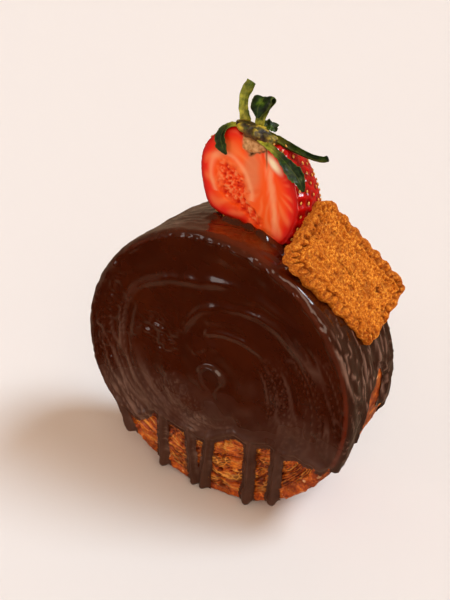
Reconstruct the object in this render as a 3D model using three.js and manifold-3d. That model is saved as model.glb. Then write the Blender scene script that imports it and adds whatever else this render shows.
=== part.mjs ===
// A round croissant roll standing on its rim: a coiled pastry disc under a poured chocolate glaze,
// topped with half a strawberry that still has its leaves, and with a caramelised biscuit.
//
// Millimetres, +Z up. The origin is the centre of the small flat that the roll stands on.
// The roll's axis runs along Y and its front face looks to -Y. The biscuit is on the +X side.
import * as THREE from "three";
import { mergeVertices } from "three/addons/utils/BufferGeometryUtils.js";
import Module from "manifold-3d";

const wasm = await Module();
wasm.setup();

// Driving dimensions.
const GAP = 0.3;                // clearance between neighbouring pieces
const ROLL_RADIUS = 59.8;
const ROLL_THICKNESS = 40.4;
const EDGE_ROUNDING = 2;        // between the faces and the rim
const FLAT_DEPTH = 1.2;         // how much the roll's own weight flattens it underneath
const SPIRAL_PITCH = 24;        // from one turn of the coiled dough to the next
const SPIRAL_HEIGHT = 0.6;      // how far each turn stands out of the face
const GLAZE_THICKNESS = 1;
const DRIP_CLEARANCE = 0.8;     // from the longest drips to the surface under the roll
const BISCUIT_LENGTH = 54.5;
const BISCUIT_WIDTH = 33;
const BISCUIT_THICKNESS = 7;
const BERRY_DEPTH = 24;         // from the cut face to the back of the half strawberry
const SEPAL_THICKNESS = 0.9;

// Finish of the round surfaces.
const ROLL_SEGMENTS = 60;
const FACE_RINGS = 8;
const EDGE_STEPS = 2;
const BERRY_SEGMENTS = 40;
const BERRY_RINGS = 7;
const SEPAL_STEPS = 10;

const AXIS_HEIGHT = ROLL_RADIUS - FLAT_DEPTH;
const GLAZED_RADIUS = ROLL_RADIUS + GAP + GLAZE_THICKNESS;
const FAR = 2 * ROLL_RADIUS;    // safely outside every piece

const degrees = THREE.MathUtils.degToRad;

// Solids from closed meshes, and back.

function toSolid(geometry) {
  geometry.deleteAttribute("normal");
  geometry.deleteAttribute("uv");
  const merged = mergeVertices(geometry, 1e-3);
  const triangles = [];
  for (let i = 0; i < merged.index.count; i += 3) {
    const [a, b, c] = [0, 1, 2].map((corner) => merged.index.getX(i + corner));
    if (a !== b && b !== c && c !== a) triangles.push(a, b, c);
  }
  return new wasm.Manifold(new wasm.Mesh({
    numProp: 3,
    vertProperties: new Float32Array(merged.attributes.position.array),
    triVerts: new Uint32Array(triangles),
  }));
}

function toMesh(name, solid, color, roughness) {
  const { vertProperties, triVerts } = solid.getMesh();
  const geometry = new THREE.BufferGeometry();
  geometry.setAttribute("position", new THREE.BufferAttribute(vertProperties, 3));
  geometry.setIndex(new THREE.BufferAttribute(triVerts, 1));
  geometry.computeVertexNormals();
  const mesh = new THREE.Mesh(geometry, new THREE.MeshStandardMaterial({ color, roughness, metalness: 0 }));
  mesh.name = name;
  return mesh;
}

// A closed skin over a stack of rings that all have the same number of points. Each ring runs
// counterclockwise, seen from the last ring.
function loft(rings) {
  const count = rings[0].length;
  const centres = [rings[0], rings[rings.length - 1]].map((ring) => (
    ring.reduce((sum, point) => sum.add(point), new THREE.Vector3()).divideScalar(count)
  ));
  const points = [...rings.flat(), ...centres];
  const first = points.length - 2;
  const last = points.length - 1;
  const lastRing = (rings.length - 1) * count;
  const index = [];
  for (let i = 0; i < count; i++) {
    const next = (i + 1) % count;
    index.push(first, next, i);
    index.push(last, lastRing + i, lastRing + next);
    for (let start = 0; start < lastRing; start += count) {
      index.push(start + i, start + next, start + count + i);
      index.push(start + next, start + count + next, start + count + i);
    }
  }
  const geometry = new THREE.BufferGeometry().setFromPoints(points);
  geometry.setIndex(index);
  return geometry;
}

// A prism whose outline is drawn in X and Z, and which runs along Y.
function prismAlongY(shape, fromY, toY) {
  const geometry = new THREE.ExtrudeGeometry(shape, { depth: toY - fromY, bevelEnabled: false, curveSegments: 8 });
  geometry.rotateX(Math.PI / 2);
  geometry.translate(0, toY, 0);
  return toSolid(geometry);
}

// The coiled pastry. Everything on it is placed from the middle of its axis.

function spiralRelief(x, z) {
  const radius = Math.hypot(x, z);
  const turns = radius / SPIRAL_PITCH + Math.atan2(z, x) / (2 * Math.PI);
  const toEdge = (ROLL_RADIUS - EDGE_ROUNDING - radius) / SPIRAL_PITCH;
  const fade = Math.min(1, radius / SPIRAL_PITCH) * THREE.MathUtils.clamp(2 * toEdge, 0, 1);
  return SPIRAL_HEIGHT * fade * (0.5 + 0.5 * Math.cos(2 * Math.PI * turns));
}

// Half the profile of the disc, from the middle of the -Y face to the rim, grown by an offset.
function halfProfile(offset) {
  const flatRadius = ROLL_RADIUS - EDGE_ROUNDING;
  const flatY = ROLL_THICKNESS / 2 - EDGE_ROUNDING;
  const round = EDGE_ROUNDING + offset;
  const profile = [];
  for (let ring = 0; ring <= FACE_RINGS; ring++) {
    profile.push(new THREE.Vector2(flatRadius * ring / FACE_RINGS, -flatY - round));
  }
  for (let step = 1; step <= EDGE_STEPS; step++) {
    const turn = (step / EDGE_STEPS) * Math.PI / 2;
    profile.push(new THREE.Vector2(flatRadius + round * Math.sin(turn), -flatY - round * Math.cos(turn)));
  }
  return profile;
}

function disc(offset) {
  const front = halfProfile(offset);
  const back = front.map((point) => new THREE.Vector2(point.x, -point.y)).reverse();
  const geometry = new THREE.LatheGeometry([...front, ...back], ROLL_SEGMENTS);
  const position = geometry.attributes.position;
  for (let i = 0; i < position.count; i++) {
    const y = position.getY(i);
    position.setY(i, y + Math.sign(y) * spiralRelief(position.getX(i), position.getZ(i)));
  }
  return toSolid(geometry);
}

function croissantRoll() {
  const ground = new THREE.BoxGeometry(FAR, FAR, FAR);
  ground.translate(0, 0, -AXIS_HEIGHT - FAR / 2);
  return disc(0).subtract(toSolid(ground));
}

// The glaze: a skin over the upper part of the roll, with drips down both faces and streaks down
// the rim. Heights and places are from the roll's axis.

const FRONT_EDGE = [
  [-60, -22], [-45, -29], [-38, -34], [-34, -33], [-29, -29], [-21, -31], [-8, -33], [1, -31], [10, -27],
  [22, -26], [28, -26], [33, -28], [43, -27], [49, -28], [54, -24], [60, -24],
];
const FRONT_DRIPS = [
  { x: -43, tip: -47, width: 5 },
  { x: -34.5, tip: -36, width: 4 },
  { x: -24, tip: -55, width: 4.5 },
  { x: -9.5, tip: -70, width: 4.5 },
  { x: -2.5, tip: -70, width: 4.5 },
  { x: 17, tip: -70, width: 4 },
  { x: 28.5, tip: -54, width: 4 },
];
const BACK_EDGE = [
  [-60, -18], [-50, -22], [-40, -20], [-28, -27], [-16, -25], [-4, -30], [8, -26], [20, -29], [32, -24],
  [44, -26], [60, -16],
];
const BACK_DRIPS = [
  { x: -44, tip: -33, width: 5 },
  { x: -27, tip: -46, width: 5 },
  { x: -12, tip: -38, width: 4 },
  { x: 3, tip: -54, width: 5 },
  { x: 21, tip: -43, width: 4.5 },
  { x: 38, tip: -37, width: 5 },
];
// Streaks side by side across the rim. Each end is an angle below the axis, in degrees.
const RIM_STREAKS = [
  { fromY: -18, toY: -11, right: 42, left: 40 },
  { fromY: -11, toY: -6, right: 27, left: 48 },
  { fromY: -6, toY: 1, right: 36, left: 30 },
  { fromY: 1, toY: 6, right: 12, left: 38 },
  { fromY: 6, toY: 12, right: 3, left: 22 },
  { fromY: 12, toY: 18, right: 20, left: 34 },
];
const STREAK_OVERLAP = 0.4;     // neighbouring streaks run into each other

function aboveEdge(edge) {
  const shape = new THREE.Shape();
  shape.moveTo(-FAR, FAR);
  shape.lineTo(-FAR, edge[0][1]);
  shape.lineTo(...edge[0]);
  shape.splineThru(edge.slice(1).map(([x, z]) => new THREE.Vector2(x, z)));
  shape.lineTo(FAR, edge[edge.length - 1][1]);
  shape.lineTo(FAR, FAR);
  return shape;
}

function dripShape({ x, tip, width }) {
  const round = width / 2;
  const shape = new THREE.Shape();
  shape.moveTo(x - round, 0);
  shape.lineTo(x - round, tip + round);
  shape.absarc(x, tip + round, round, Math.PI, 2 * Math.PI, false);
  shape.lineTo(x + round, 0);
  return shape;
}

function streakShape({ right, left }) {
  const shape = new THREE.Shape();
  shape.moveTo(0, 0);
  shape.lineTo(FAR * Math.cos(degrees(right)), -FAR * Math.sin(degrees(right)));
  shape.lineTo(FAR, FAR);
  shape.lineTo(-FAR, FAR);
  shape.lineTo(-FAR * Math.cos(degrees(left)), -FAR * Math.sin(degrees(left)));
  return shape;
}

function glazedFace(edge, drips, fromY, toY) {
  const pieces = [aboveEdge(edge), ...drips.map(dripShape)].map((shape) => prismAlongY(shape, fromY, toY));
  return wasm.Manifold.union(pieces);
}

function glaze() {
  const rimStart = RIM_STREAKS[0].fromY + STREAK_OVERLAP;
  const rimEnd = RIM_STREAKS[RIM_STREAKS.length - 1].toY - STREAK_OVERLAP;
  const streaks = RIM_STREAKS.map((streak) => (
    prismAlongY(streakShape(streak), streak.fromY, streak.toY + STREAK_OVERLAP)
  ));
  const covered = wasm.Manifold.union([
    glazedFace(FRONT_EDGE, FRONT_DRIPS, -FAR, rimStart),
    glazedFace(BACK_EDGE, BACK_DRIPS, rimEnd, FAR),
    ...streaks,
  ]);
  const ground = new THREE.BoxGeometry(FAR, FAR, FAR);
  ground.translate(0, 0, DRIP_CLEARANCE - AXIS_HEIGHT - FAR / 2);
  const skin = disc(GAP + GLAZE_THICKNESS).subtract(disc(GAP));
  return skin.intersect(covered).subtract(toSolid(ground));
}

// The half strawberry, in its own frame: X to the right across the cut face, Y into the berry,
// Z up towards the calyx. The cut face is the plane Y = 0.

const BERRY_MIDDLE = new THREE.Vector2(-1, 14);
const BERRY_OUTLINE = [
  [7, -1.5], [-3, 2.2], [-13, 2.8], [-19, 4], [-23.8, 13.5], [-24.3, 21], [-21.5, 27], [-16.5, 31], [-11, 33],
  [-7, 29.5], [-2.5, 28], [4, 28], [8.5, 28], [14, 21], [18.5, 14], [20, 6], [19, -1], [15, -4.6],
];
const BERRY_WIDEST = degrees(20);   // the widest section lies this far round behind the cut
const BERRY_LEAN = 0.28;            // drift to the right per millimetre of depth

function berryShape(grown) {
  const outline = new THREE.CatmullRomCurve3(BERRY_OUTLINE.map(([x, z]) => new THREE.Vector3(x, 0, z)), true);
  const points = outline.getSpacedPoints(BERRY_SEGMENTS).slice(0, BERRY_SEGMENTS);
  const roundness = BERRY_DEPTH / (1 + Math.sin(BERRY_WIDEST));
  const rings = [];
  for (let ring = 0; ring <= BERRY_RINGS; ring++) {
    const turn = THREE.MathUtils.lerp(-BERRY_WIDEST, degrees(84), ring / BERRY_RINGS);
    const depth = roundness * (Math.sin(turn) + Math.sin(BERRY_WIDEST));
    const scale = Math.cos(turn) / Math.cos(BERRY_WIDEST);
    rings.push(points.map((point) => {
      const reach = new THREE.Vector2(point.x, point.z).sub(BERRY_MIDDLE);
      reach.multiplyScalar(scale).setLength(reach.length() + grown);
      const x = BERRY_MIDDLE.x + reach.x + BERRY_LEAN * depth;
      return new THREE.Vector3(x, ring === 0 ? -grown : depth, BERRY_MIDDLE.y + reach.y);
    }));
  }
  return toSolid(loft(rings));
}

function berryRotation() {
  return new THREE.Euler(degrees(-15), 0, degrees(-4), "ZYX");
}

const BERRY_PLACE = new THREE.Vector3(5, -4.5, 61.2);

// What the berry and its leaves stand on, in the berry's own frame.
function glazedRim() {
  const rim = new THREE.CylinderGeometry(GLAZED_RADIUS + GAP, GLAZED_RADIUS + GAP, FAR, 2 * ROLL_SEGMENTS);
  const place = new THREE.Matrix4().makeRotationFromEuler(berryRotation()).setPosition(BERRY_PLACE);
  rim.applyMatrix4(place.invert());
  return toSolid(rim);
}

// The calyx: a low leathery cap on the berry's shoulder, and the sepals that grow from it.

const CAP_PLACE = new THREE.Vector3(-5, 4, 31.5);
const CAP_RADIUS = 7.5;
const CAP_HEIGHT = 5;

function capShape(grown) {
  const profile = new THREE.Path();
  profile.moveTo(0, -CAP_HEIGHT / 2 - grown);
  profile.lineTo(CAP_RADIUS + grown, -CAP_HEIGHT / 2 - grown);
  profile.quadraticCurveTo(CAP_RADIUS + grown, CAP_HEIGHT + grown, 0, CAP_HEIGHT + grown);
  const geometry = new THREE.LatheGeometry(profile.getPoints(6), 20);
  geometry.rotateX(Math.PI / 2);
  geometry.scale(1, 0.7, 1);
  geometry.translate(...CAP_PLACE);
  return toSolid(geometry);
}

// Each sepal's midline runs from the cap to its tip. A draped sepal turns its face away from the
// berry, and a standing one turns it to the front.
const SEPALS = [
  { name: "sepal_upright_left", width: 4.6, standing: true,
    midline: [[-9, 4, 35.5], [-12.3, 4, 42], [-12.8, 5, 47], [-12, 6, 51]] },
  { name: "sepal_upright_right", width: 7, standing: true,
    midline: [[-4.5, 4, 37], [-5.3, 5, 41.2], [-4.9, 6, 45.3], [-3, 6.5, 48.3]] },
  { name: "sepal_back", width: 6, standing: false,
    midline: [[-2, 8.6, 34.6], [0, 10, 36.4], [1.8, 11.5, 36.2], [3.2, 13, 34]] },
  { name: "sepal_side_right", width: 4, standing: false,
    midline: [[2, 5.5, 33.6], [7, 6, 33.2], [13, 7, 31.6], [19, 8, 29.2], [24, 9, 29.8]] },
  { name: "sepal_front_right", width: 6, standing: false,
    midline: [[1.5, 1.5, 30.8], [7.3, 3, 30.4], [12.4, 4, 28.2], [16, 4.6, 25.2], [18.4, 5, 21.6], [19.6, 5, 18]] },
  { name: "sepal_left", width: 5.5, standing: false,
    midline: [[-11.5, 3, 35.2], [-15.5, 1.5, 34.6], [-18.6, -0.4, 32.2], [-18.2, -2, 28.6], [-15.8, -2.6, 25.6],
      [-12, -2.8, 24]] },
];

function sepalShape({ midline, width, standing }) {
  const curve = new THREE.CatmullRomCurve3(midline.map((point) => new THREE.Vector3(...point)));
  const berryCentre = new THREE.Vector3(BERRY_MIDDLE.x, BERRY_DEPTH / 3, BERRY_MIDDLE.y);
  const rings = [];
  for (let step = 0; step <= SEPAL_STEPS; step++) {
    const along = step / SEPAL_STEPS;
    const middle = curve.getPoint(along);
    const outward = standing ? new THREE.Vector3(0, -1, 0) : middle.clone().sub(berryCentre);
    const across = curve.getTangent(along).cross(outward).normalize();
    const face = across.clone().cross(curve.getTangent(along)).normalize();
    const half = width * (0.12 + 0.38 * Math.sin(Math.PI * (0.2 + 0.78 * along)));
    rings.push([[-1, 0], [-0.6, 1], [0.6, 1], [1, 0], [0.6, -1], [-0.6, -1]].map(([side, rise]) => (
      middle.clone()
        .addScaledVector(across, side * half)
        .addScaledVector(face, rise * SEPAL_THICKNESS / 2)
    )));
  }
  return toSolid(loft(rings));
}

// The biscuit, flat in its own frame: X along it, Y across it, Z out of its pressed face.

const BISCUIT_CORNER = 5;
const SCALLOP_SPACING = 7;
const SCALLOP_DEPTH = 0.9;
const SCALLOP_POINTS = 6;
const BISCUIT_BEVEL = 0.8;
const FRAME_INSET = 4.6;        // from the edge to the raised frame line
const FRAME_WIDTH = 1.2;
const FRAME_HEIGHT = 0.5;

function roundedRectangle(inset, Path = THREE.Shape) {
  const x = BISCUIT_LENGTH / 2 - inset;
  const y = BISCUIT_WIDTH / 2 - inset;
  const round = Math.max(BISCUIT_CORNER - inset, 1.5);
  const path = new Path();
  path.moveTo(x, round - y);
  path.absarc(x - round, y - round, round, 0, Math.PI / 2, false);
  path.absarc(round - x, y - round, round, Math.PI / 2, Math.PI, false);
  path.absarc(round - x, round - y, round, Math.PI, 1.5 * Math.PI, false);
  path.absarc(x - round, round - y, round, 1.5 * Math.PI, 2 * Math.PI, false);
  return path;
}

function scallopedOutline() {
  const base = roundedRectangle(0);
  const scallops = Math.round(base.getLength() / SCALLOP_SPACING);
  const points = base.getSpacedPoints(scallops * SCALLOP_POINTS).slice(0, -1);
  const scalloped = points.map((point, i) => {
    const before = points[(i + points.length - 1) % points.length];
    const after = points[(i + 1) % points.length];
    const outward = after.clone().sub(before).rotateAround(new THREE.Vector2(), -Math.PI / 2).normalize();
    const hollow = 1 - Math.abs(Math.sin(Math.PI * i / SCALLOP_POINTS));
    return point.clone().addScaledVector(outward, -SCALLOP_DEPTH * hollow);
  });
  return new THREE.Shape(scalloped);
}

function biscuit() {
  const slab = new THREE.ExtrudeGeometry(scallopedOutline(), {
    depth: BISCUIT_THICKNESS - FRAME_HEIGHT - 2 * BISCUIT_BEVEL,
    bevelThickness: BISCUIT_BEVEL,
    bevelSize: BISCUIT_BEVEL,
    bevelOffset: -BISCUIT_BEVEL,
    bevelSegments: 2,
  });
  slab.translate(0, 0, BISCUIT_BEVEL - BISCUIT_THICKNESS / 2);
  const line = roundedRectangle(FRAME_INSET);
  line.holes.push(roundedRectangle(FRAME_INSET + FRAME_WIDTH, THREE.Path));
  const frame = new THREE.ExtrudeGeometry(line, { depth: 2 * FRAME_HEIGHT, bevelEnabled: false, curveSegments: 4 });
  frame.translate(0, 0, BISCUIT_THICKNESS / 2 - 2 * FRAME_HEIGHT);
  return toSolid(slab).add(toSolid(frame));
}

// The whole thing.

const CRUST = 0xc9772a;
const CHOCOLATE = 0x3a1710;
const BERRY_RED = 0xd8281c;
const LEAF_GREEN = 0x5f7a2c;
const CAP_BROWN = 0x8f8440;
const CARAMEL = 0xb8672a;

function strawberry() {
  const rim = glazedRim();
  const clearOfBerry = berryShape(GAP);
  const clearOfCap = capShape(GAP);
  const group = new THREE.Group();
  group.add(toMesh("strawberry_half", berryShape(0).subtract(rim), BERRY_RED, 0.3));
  group.add(toMesh("strawberry_calyx", capShape(0).subtract(clearOfBerry), CAP_BROWN, 0.7));
  for (const sepal of SEPALS) {
    const solid = sepalShape(sepal).subtract(clearOfBerry).subtract(clearOfCap);
    group.add(toMesh(sepal.name, solid, LEAF_GREEN, 0.6));
  }
  group.rotation.copy(berryRotation());
  group.position.copy(BERRY_PLACE);
  return group;
}

// The biscuit stands on its lower end in the glaze and leans back towards the berry.
function leaningBiscuit() {
  const mesh = toMesh("caramelised_biscuit", biscuit(), CARAMEL, 0.85);
  mesh.rotation.set(degrees(37), degrees(49.5), degrees(37.5), "ZYX");
  mesh.position.set(47, -1.2, 49.5);
  return mesh;
}

const dessert = new THREE.Group();
dessert.position.z = AXIS_HEIGHT;
dessert.add(toMesh("croissant_roll", croissantRoll(), CRUST, 0.6));
dessert.add(toMesh("chocolate_glaze", glaze(), CHOCOLATE, 0.2));
dessert.add(strawberry());
dessert.add(leaningBiscuit());

export default dessert;
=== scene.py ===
import math

import bpy
import numpy as np
from mathutils import Matrix, Vector


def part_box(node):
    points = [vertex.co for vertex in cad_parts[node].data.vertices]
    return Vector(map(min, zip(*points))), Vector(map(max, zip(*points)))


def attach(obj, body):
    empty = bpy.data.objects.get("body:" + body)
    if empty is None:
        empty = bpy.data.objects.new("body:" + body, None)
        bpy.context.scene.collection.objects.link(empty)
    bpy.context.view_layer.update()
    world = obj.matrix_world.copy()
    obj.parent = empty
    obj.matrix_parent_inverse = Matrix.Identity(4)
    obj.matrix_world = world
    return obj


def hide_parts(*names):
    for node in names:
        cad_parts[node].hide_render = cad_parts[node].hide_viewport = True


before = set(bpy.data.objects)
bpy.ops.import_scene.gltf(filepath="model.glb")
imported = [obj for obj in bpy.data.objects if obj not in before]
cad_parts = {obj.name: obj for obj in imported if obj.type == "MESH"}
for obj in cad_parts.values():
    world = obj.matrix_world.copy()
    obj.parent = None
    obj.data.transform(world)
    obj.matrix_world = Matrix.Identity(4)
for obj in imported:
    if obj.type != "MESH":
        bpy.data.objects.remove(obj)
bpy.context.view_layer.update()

MM = 0.001


# ---------------------------------------------------------------- sizes read from the frame

roll_low, roll_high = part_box("croissant_roll")
glaze_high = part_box("chocolate_glaze")[1]
ROLL_RADIUS = (roll_high.x - roll_low.x) / 2 / MM
AXIS_HEIGHT = roll_high.z / MM - ROLL_RADIUS
GLAZE_ON_FACE = 1.9                          # how far the glaze stands out of the flat faces
FACE_Y = glaze_high.y / MM - GLAZE_ON_FACE   # the roll's flat faces lie at plus and minus this
EDGE_ROUNDING = 2.0
BACK_TAPER = 1.8                             # how much less the roll's radius is at the back
FAR = 1000.0


# ---------------------------------------------------------------- numbers and noise

def smoothstep(low, high, value):
    t = np.clip((value - low) / (high - low), 0, 1)
    return t * t * (3 - 2 * t)


def lattice(ix, iy, iz, seed):
    n = (ix * 374761393 + iy * 668265263 + iz * 1440662683 + seed * 974634777) & 0xFFFFFFFF
    n = ((n ^ (n >> 13)) * 1274126177) & 0xFFFFFFFF
    return ((n ^ (n >> 16)) & 0xFFFF) / 32767.5 - 1


def noise(x, y, z=0.0, seed=0):
    """Smooth noise between -1 and 1, about one bump per unit."""
    x, y, z = np.broadcast_arrays(*(np.asarray(v, float) for v in (x, y, z)))
    cells = [np.floor(v).astype(np.int64) for v in (x, y, z)]
    fx, fy, fz = (v - c for v, c in zip((x, y, z), cells))
    fx, fy, fz = (f * f * f * (f * (f * 6 - 15) + 10) for f in (fx, fy, fz))
    total = 0
    for dx in (0, 1):
        for dy in (0, 1):
            for dz in (0, 1):
                weight = (fx if dx else 1 - fx) * (fy if dy else 1 - fy) * (fz if dz else 1 - fz)
                total = total + weight * lattice(cells[0] + dx, cells[1] + dy, cells[2] + dz, seed)
    return total


def fractal(x, y, z=0.0, seed=0, octaves=3):
    total, size = 0, 1.0
    for octave in range(octaves):
        scale = 2.03 ** octave
        total = total + noise(x * scale, y * scale, np.asarray(z) * scale, seed + octave) * size
        size *= 0.5
    return total


def bump(value, width):
    return np.exp(-(value / width) ** 2)


# ---------------------------------------------------------------- meshes

def mesh_piece(name, vertices_mm, faces, materials, attributes=None, face_materials=None):
    """A mesh object riding on the part, from points in millimetres."""
    mesh = bpy.data.meshes.new(name)
    mesh.from_pydata((np.asarray(vertices_mm) * MM).tolist(), [], faces)
    for key, values in (attributes or {}).items():
        layer = mesh.attributes.new(key, "FLOAT", "POINT")
        layer.data.foreach_set("value", np.asarray(values, np.float32).ravel())
    if face_materials is not None:
        mesh.polygons.foreach_set("material_index", np.asarray(face_materials, np.int32))
    mesh.polygons.foreach_set("use_smooth", [True] * len(mesh.polygons))
    piece = bpy.data.objects.new(name, mesh)
    bpy.context.scene.collection.objects.link(piece)
    for material in materials:
        mesh.materials.append(material)
    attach(piece, "root")
    return piece


def closed_faces(rows, columns, keep=None):
    """Quads of a grid that closes on itself along its rows, then a cap on its first and last rows."""
    row, column = np.meshgrid(np.arange(rows - 1), np.arange(columns), indexing="ij")
    following = (column + 1) % columns
    quads = np.stack([row * columns + column, row * columns + following,
                      (row + 1) * columns + following, (row + 1) * columns + column], axis=-1)
    quads = quads.reshape(-1, 4)
    if keep is not None:
        quads = quads[keep[quads].any(axis=1)]
    first = list(range(columns))
    last = [(rows - 1) * columns + i for i in first]
    return quads.tolist() + [first[::-1], last]


def inside_out(faces):
    return [face[::-1] for face in faces]


def used_only(vertices, faces, attributes):
    """Drops the points that no face uses."""
    used = np.zeros(len(vertices), bool)
    for face in faces:
        used[list(face)] = True
    renumber = np.cumsum(used) - 1
    faces = [[int(renumber[i]) for i in face] for face in faces]
    return vertices[used], faces, {key: values[used] for key, values in attributes.items()}


# ---------------------------------------------------------------- frames of the toppings

def turned(x=0, y=0, z=0):
    """Rotation about X, then Y, then Z, in degrees."""
    parts = [Matrix.Rotation(math.radians(a), 3, axis) for a, axis in ((z, "Z"), (y, "Y"), (x, "X"))]
    return np.array(parts[0] @ parts[1] @ parts[2])


def placed(points, rotation, place):
    """Points of a topping's own frame in the object's frame; the place is seen from the roll's axis."""
    return np.asarray(points) @ rotation.T + np.array(place) + np.array([0, 0, AXIS_HEIGHT])


BERRY_TURN = turned(x=-15, z=-4)
BERRY_PLACE = (5, -4.5, 61.2)
BISCUIT_TURN = turned(51.1, 50.3, 39.5)
BISCUIT_PLACE = (44.8, 0.7, 48.3)
BISCUIT_LENGTH, BISCUIT_WIDTH, BISCUIT_THICKNESS = 53.4, 32.0, 6.9


# ---------------------------------------------------------------- the disc that both skins follow

class Disc:
    """A grid over the coiled disc: middle of the front face, front face, rim, back face."""

    def __init__(self, segments, front_step, rim_step, back_step,
                 inner_step=None, inner_radius=0, crowding=0):
        flat = ROLL_RADIUS - EDGE_ROUNDING
        half = FACE_Y - EDGE_ROUNDING
        turns = np.linspace(0, math.pi / 2, 8)[1:-1]
        front = self.radii(flat, front_step, inner_step, inner_radius)
        back = self.radii(flat, back_step, inner_step, inner_radius)
        rim = np.linspace(-half, half, max(3, int(2 * half / rim_step)))
        corner = [(flat + EDGE_ROUNDING * math.sin(t), half + EDGE_ROUNDING * math.cos(t),
                   math.sin(t), math.cos(t)) for t in turns]
        rows = [(r, -FACE_Y, 0.0, -1.0) for r in front]
        rows += [(r, -y, out_radial, -out_y) for r, y, out_radial, out_y in corner]
        rows += [(ROLL_RADIUS, y, 1.0, 0.0) for y in rim]
        rows += corner[::-1]
        rows += [(r, FACE_Y, 0.0, 1.0) for r in back[::-1]]
        table = np.array(rows)
        self.segments = segments
        self.rows = len(rows)
        angle = np.linspace(0, 2 * math.pi, segments, endpoint=False)
        angle = angle - crowding * np.cos(angle)      # more segments towards the bottom
        self.radius, self.angle = np.meshgrid(table[:, 0], angle, indexing="ij")
        self.y = np.repeat(table[:, 1:2], segments, axis=1)
        self.out_radial = np.repeat(table[:, 2:3], segments, axis=1)
        self.out_y = np.repeat(table[:, 3:4], segments, axis=1)
        self.x = self.radius * np.cos(self.angle)
        self.z = self.radius * np.sin(self.angle)
        self.from_top = np.mod(self.angle - math.pi / 2, 2 * math.pi)
        self.from_bottom = np.mod(self.angle + math.pi / 2, 2 * math.pi)
        self.unrolled = self.radius + FACE_Y - np.abs(self.y)    # the rim laid out flat beyond the face

    @staticmethod
    def radii(flat, step, inner_step, inner_radius):
        inner = np.arange(0.4, inner_radius, inner_step) if inner_step else np.array([0.4])
        start = max(inner_radius, inner[-1] + step)
        return np.concatenate([inner, np.linspace(start, flat, max(2, int((flat - start) / step)))])

    def points(self, height):
        """Where the grid's points are after moving out by height, millimetres."""
        radius = self.radius * self.taper() + self.out_radial * height
        points = np.stack([radius * np.cos(self.angle), self.y + self.out_y * height,
                           radius * np.sin(self.angle) + AXIS_HEIGHT], axis=-1)
        return points.reshape(-1, 3)

    def taper(self):
        """The roll is a little narrower at the back, away from where it stands."""
        share = smoothstep(-FACE_Y, FACE_Y, self.y) * smoothstep(-1.0, -0.75, np.sin(self.angle))
        return 1 - BACK_TAPER / ROLL_RADIUS * share

    def faces(self, keep=None):
        return closed_faces(self.rows, self.segments, keep)


# ---------------------------------------------------------------- materials

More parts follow.
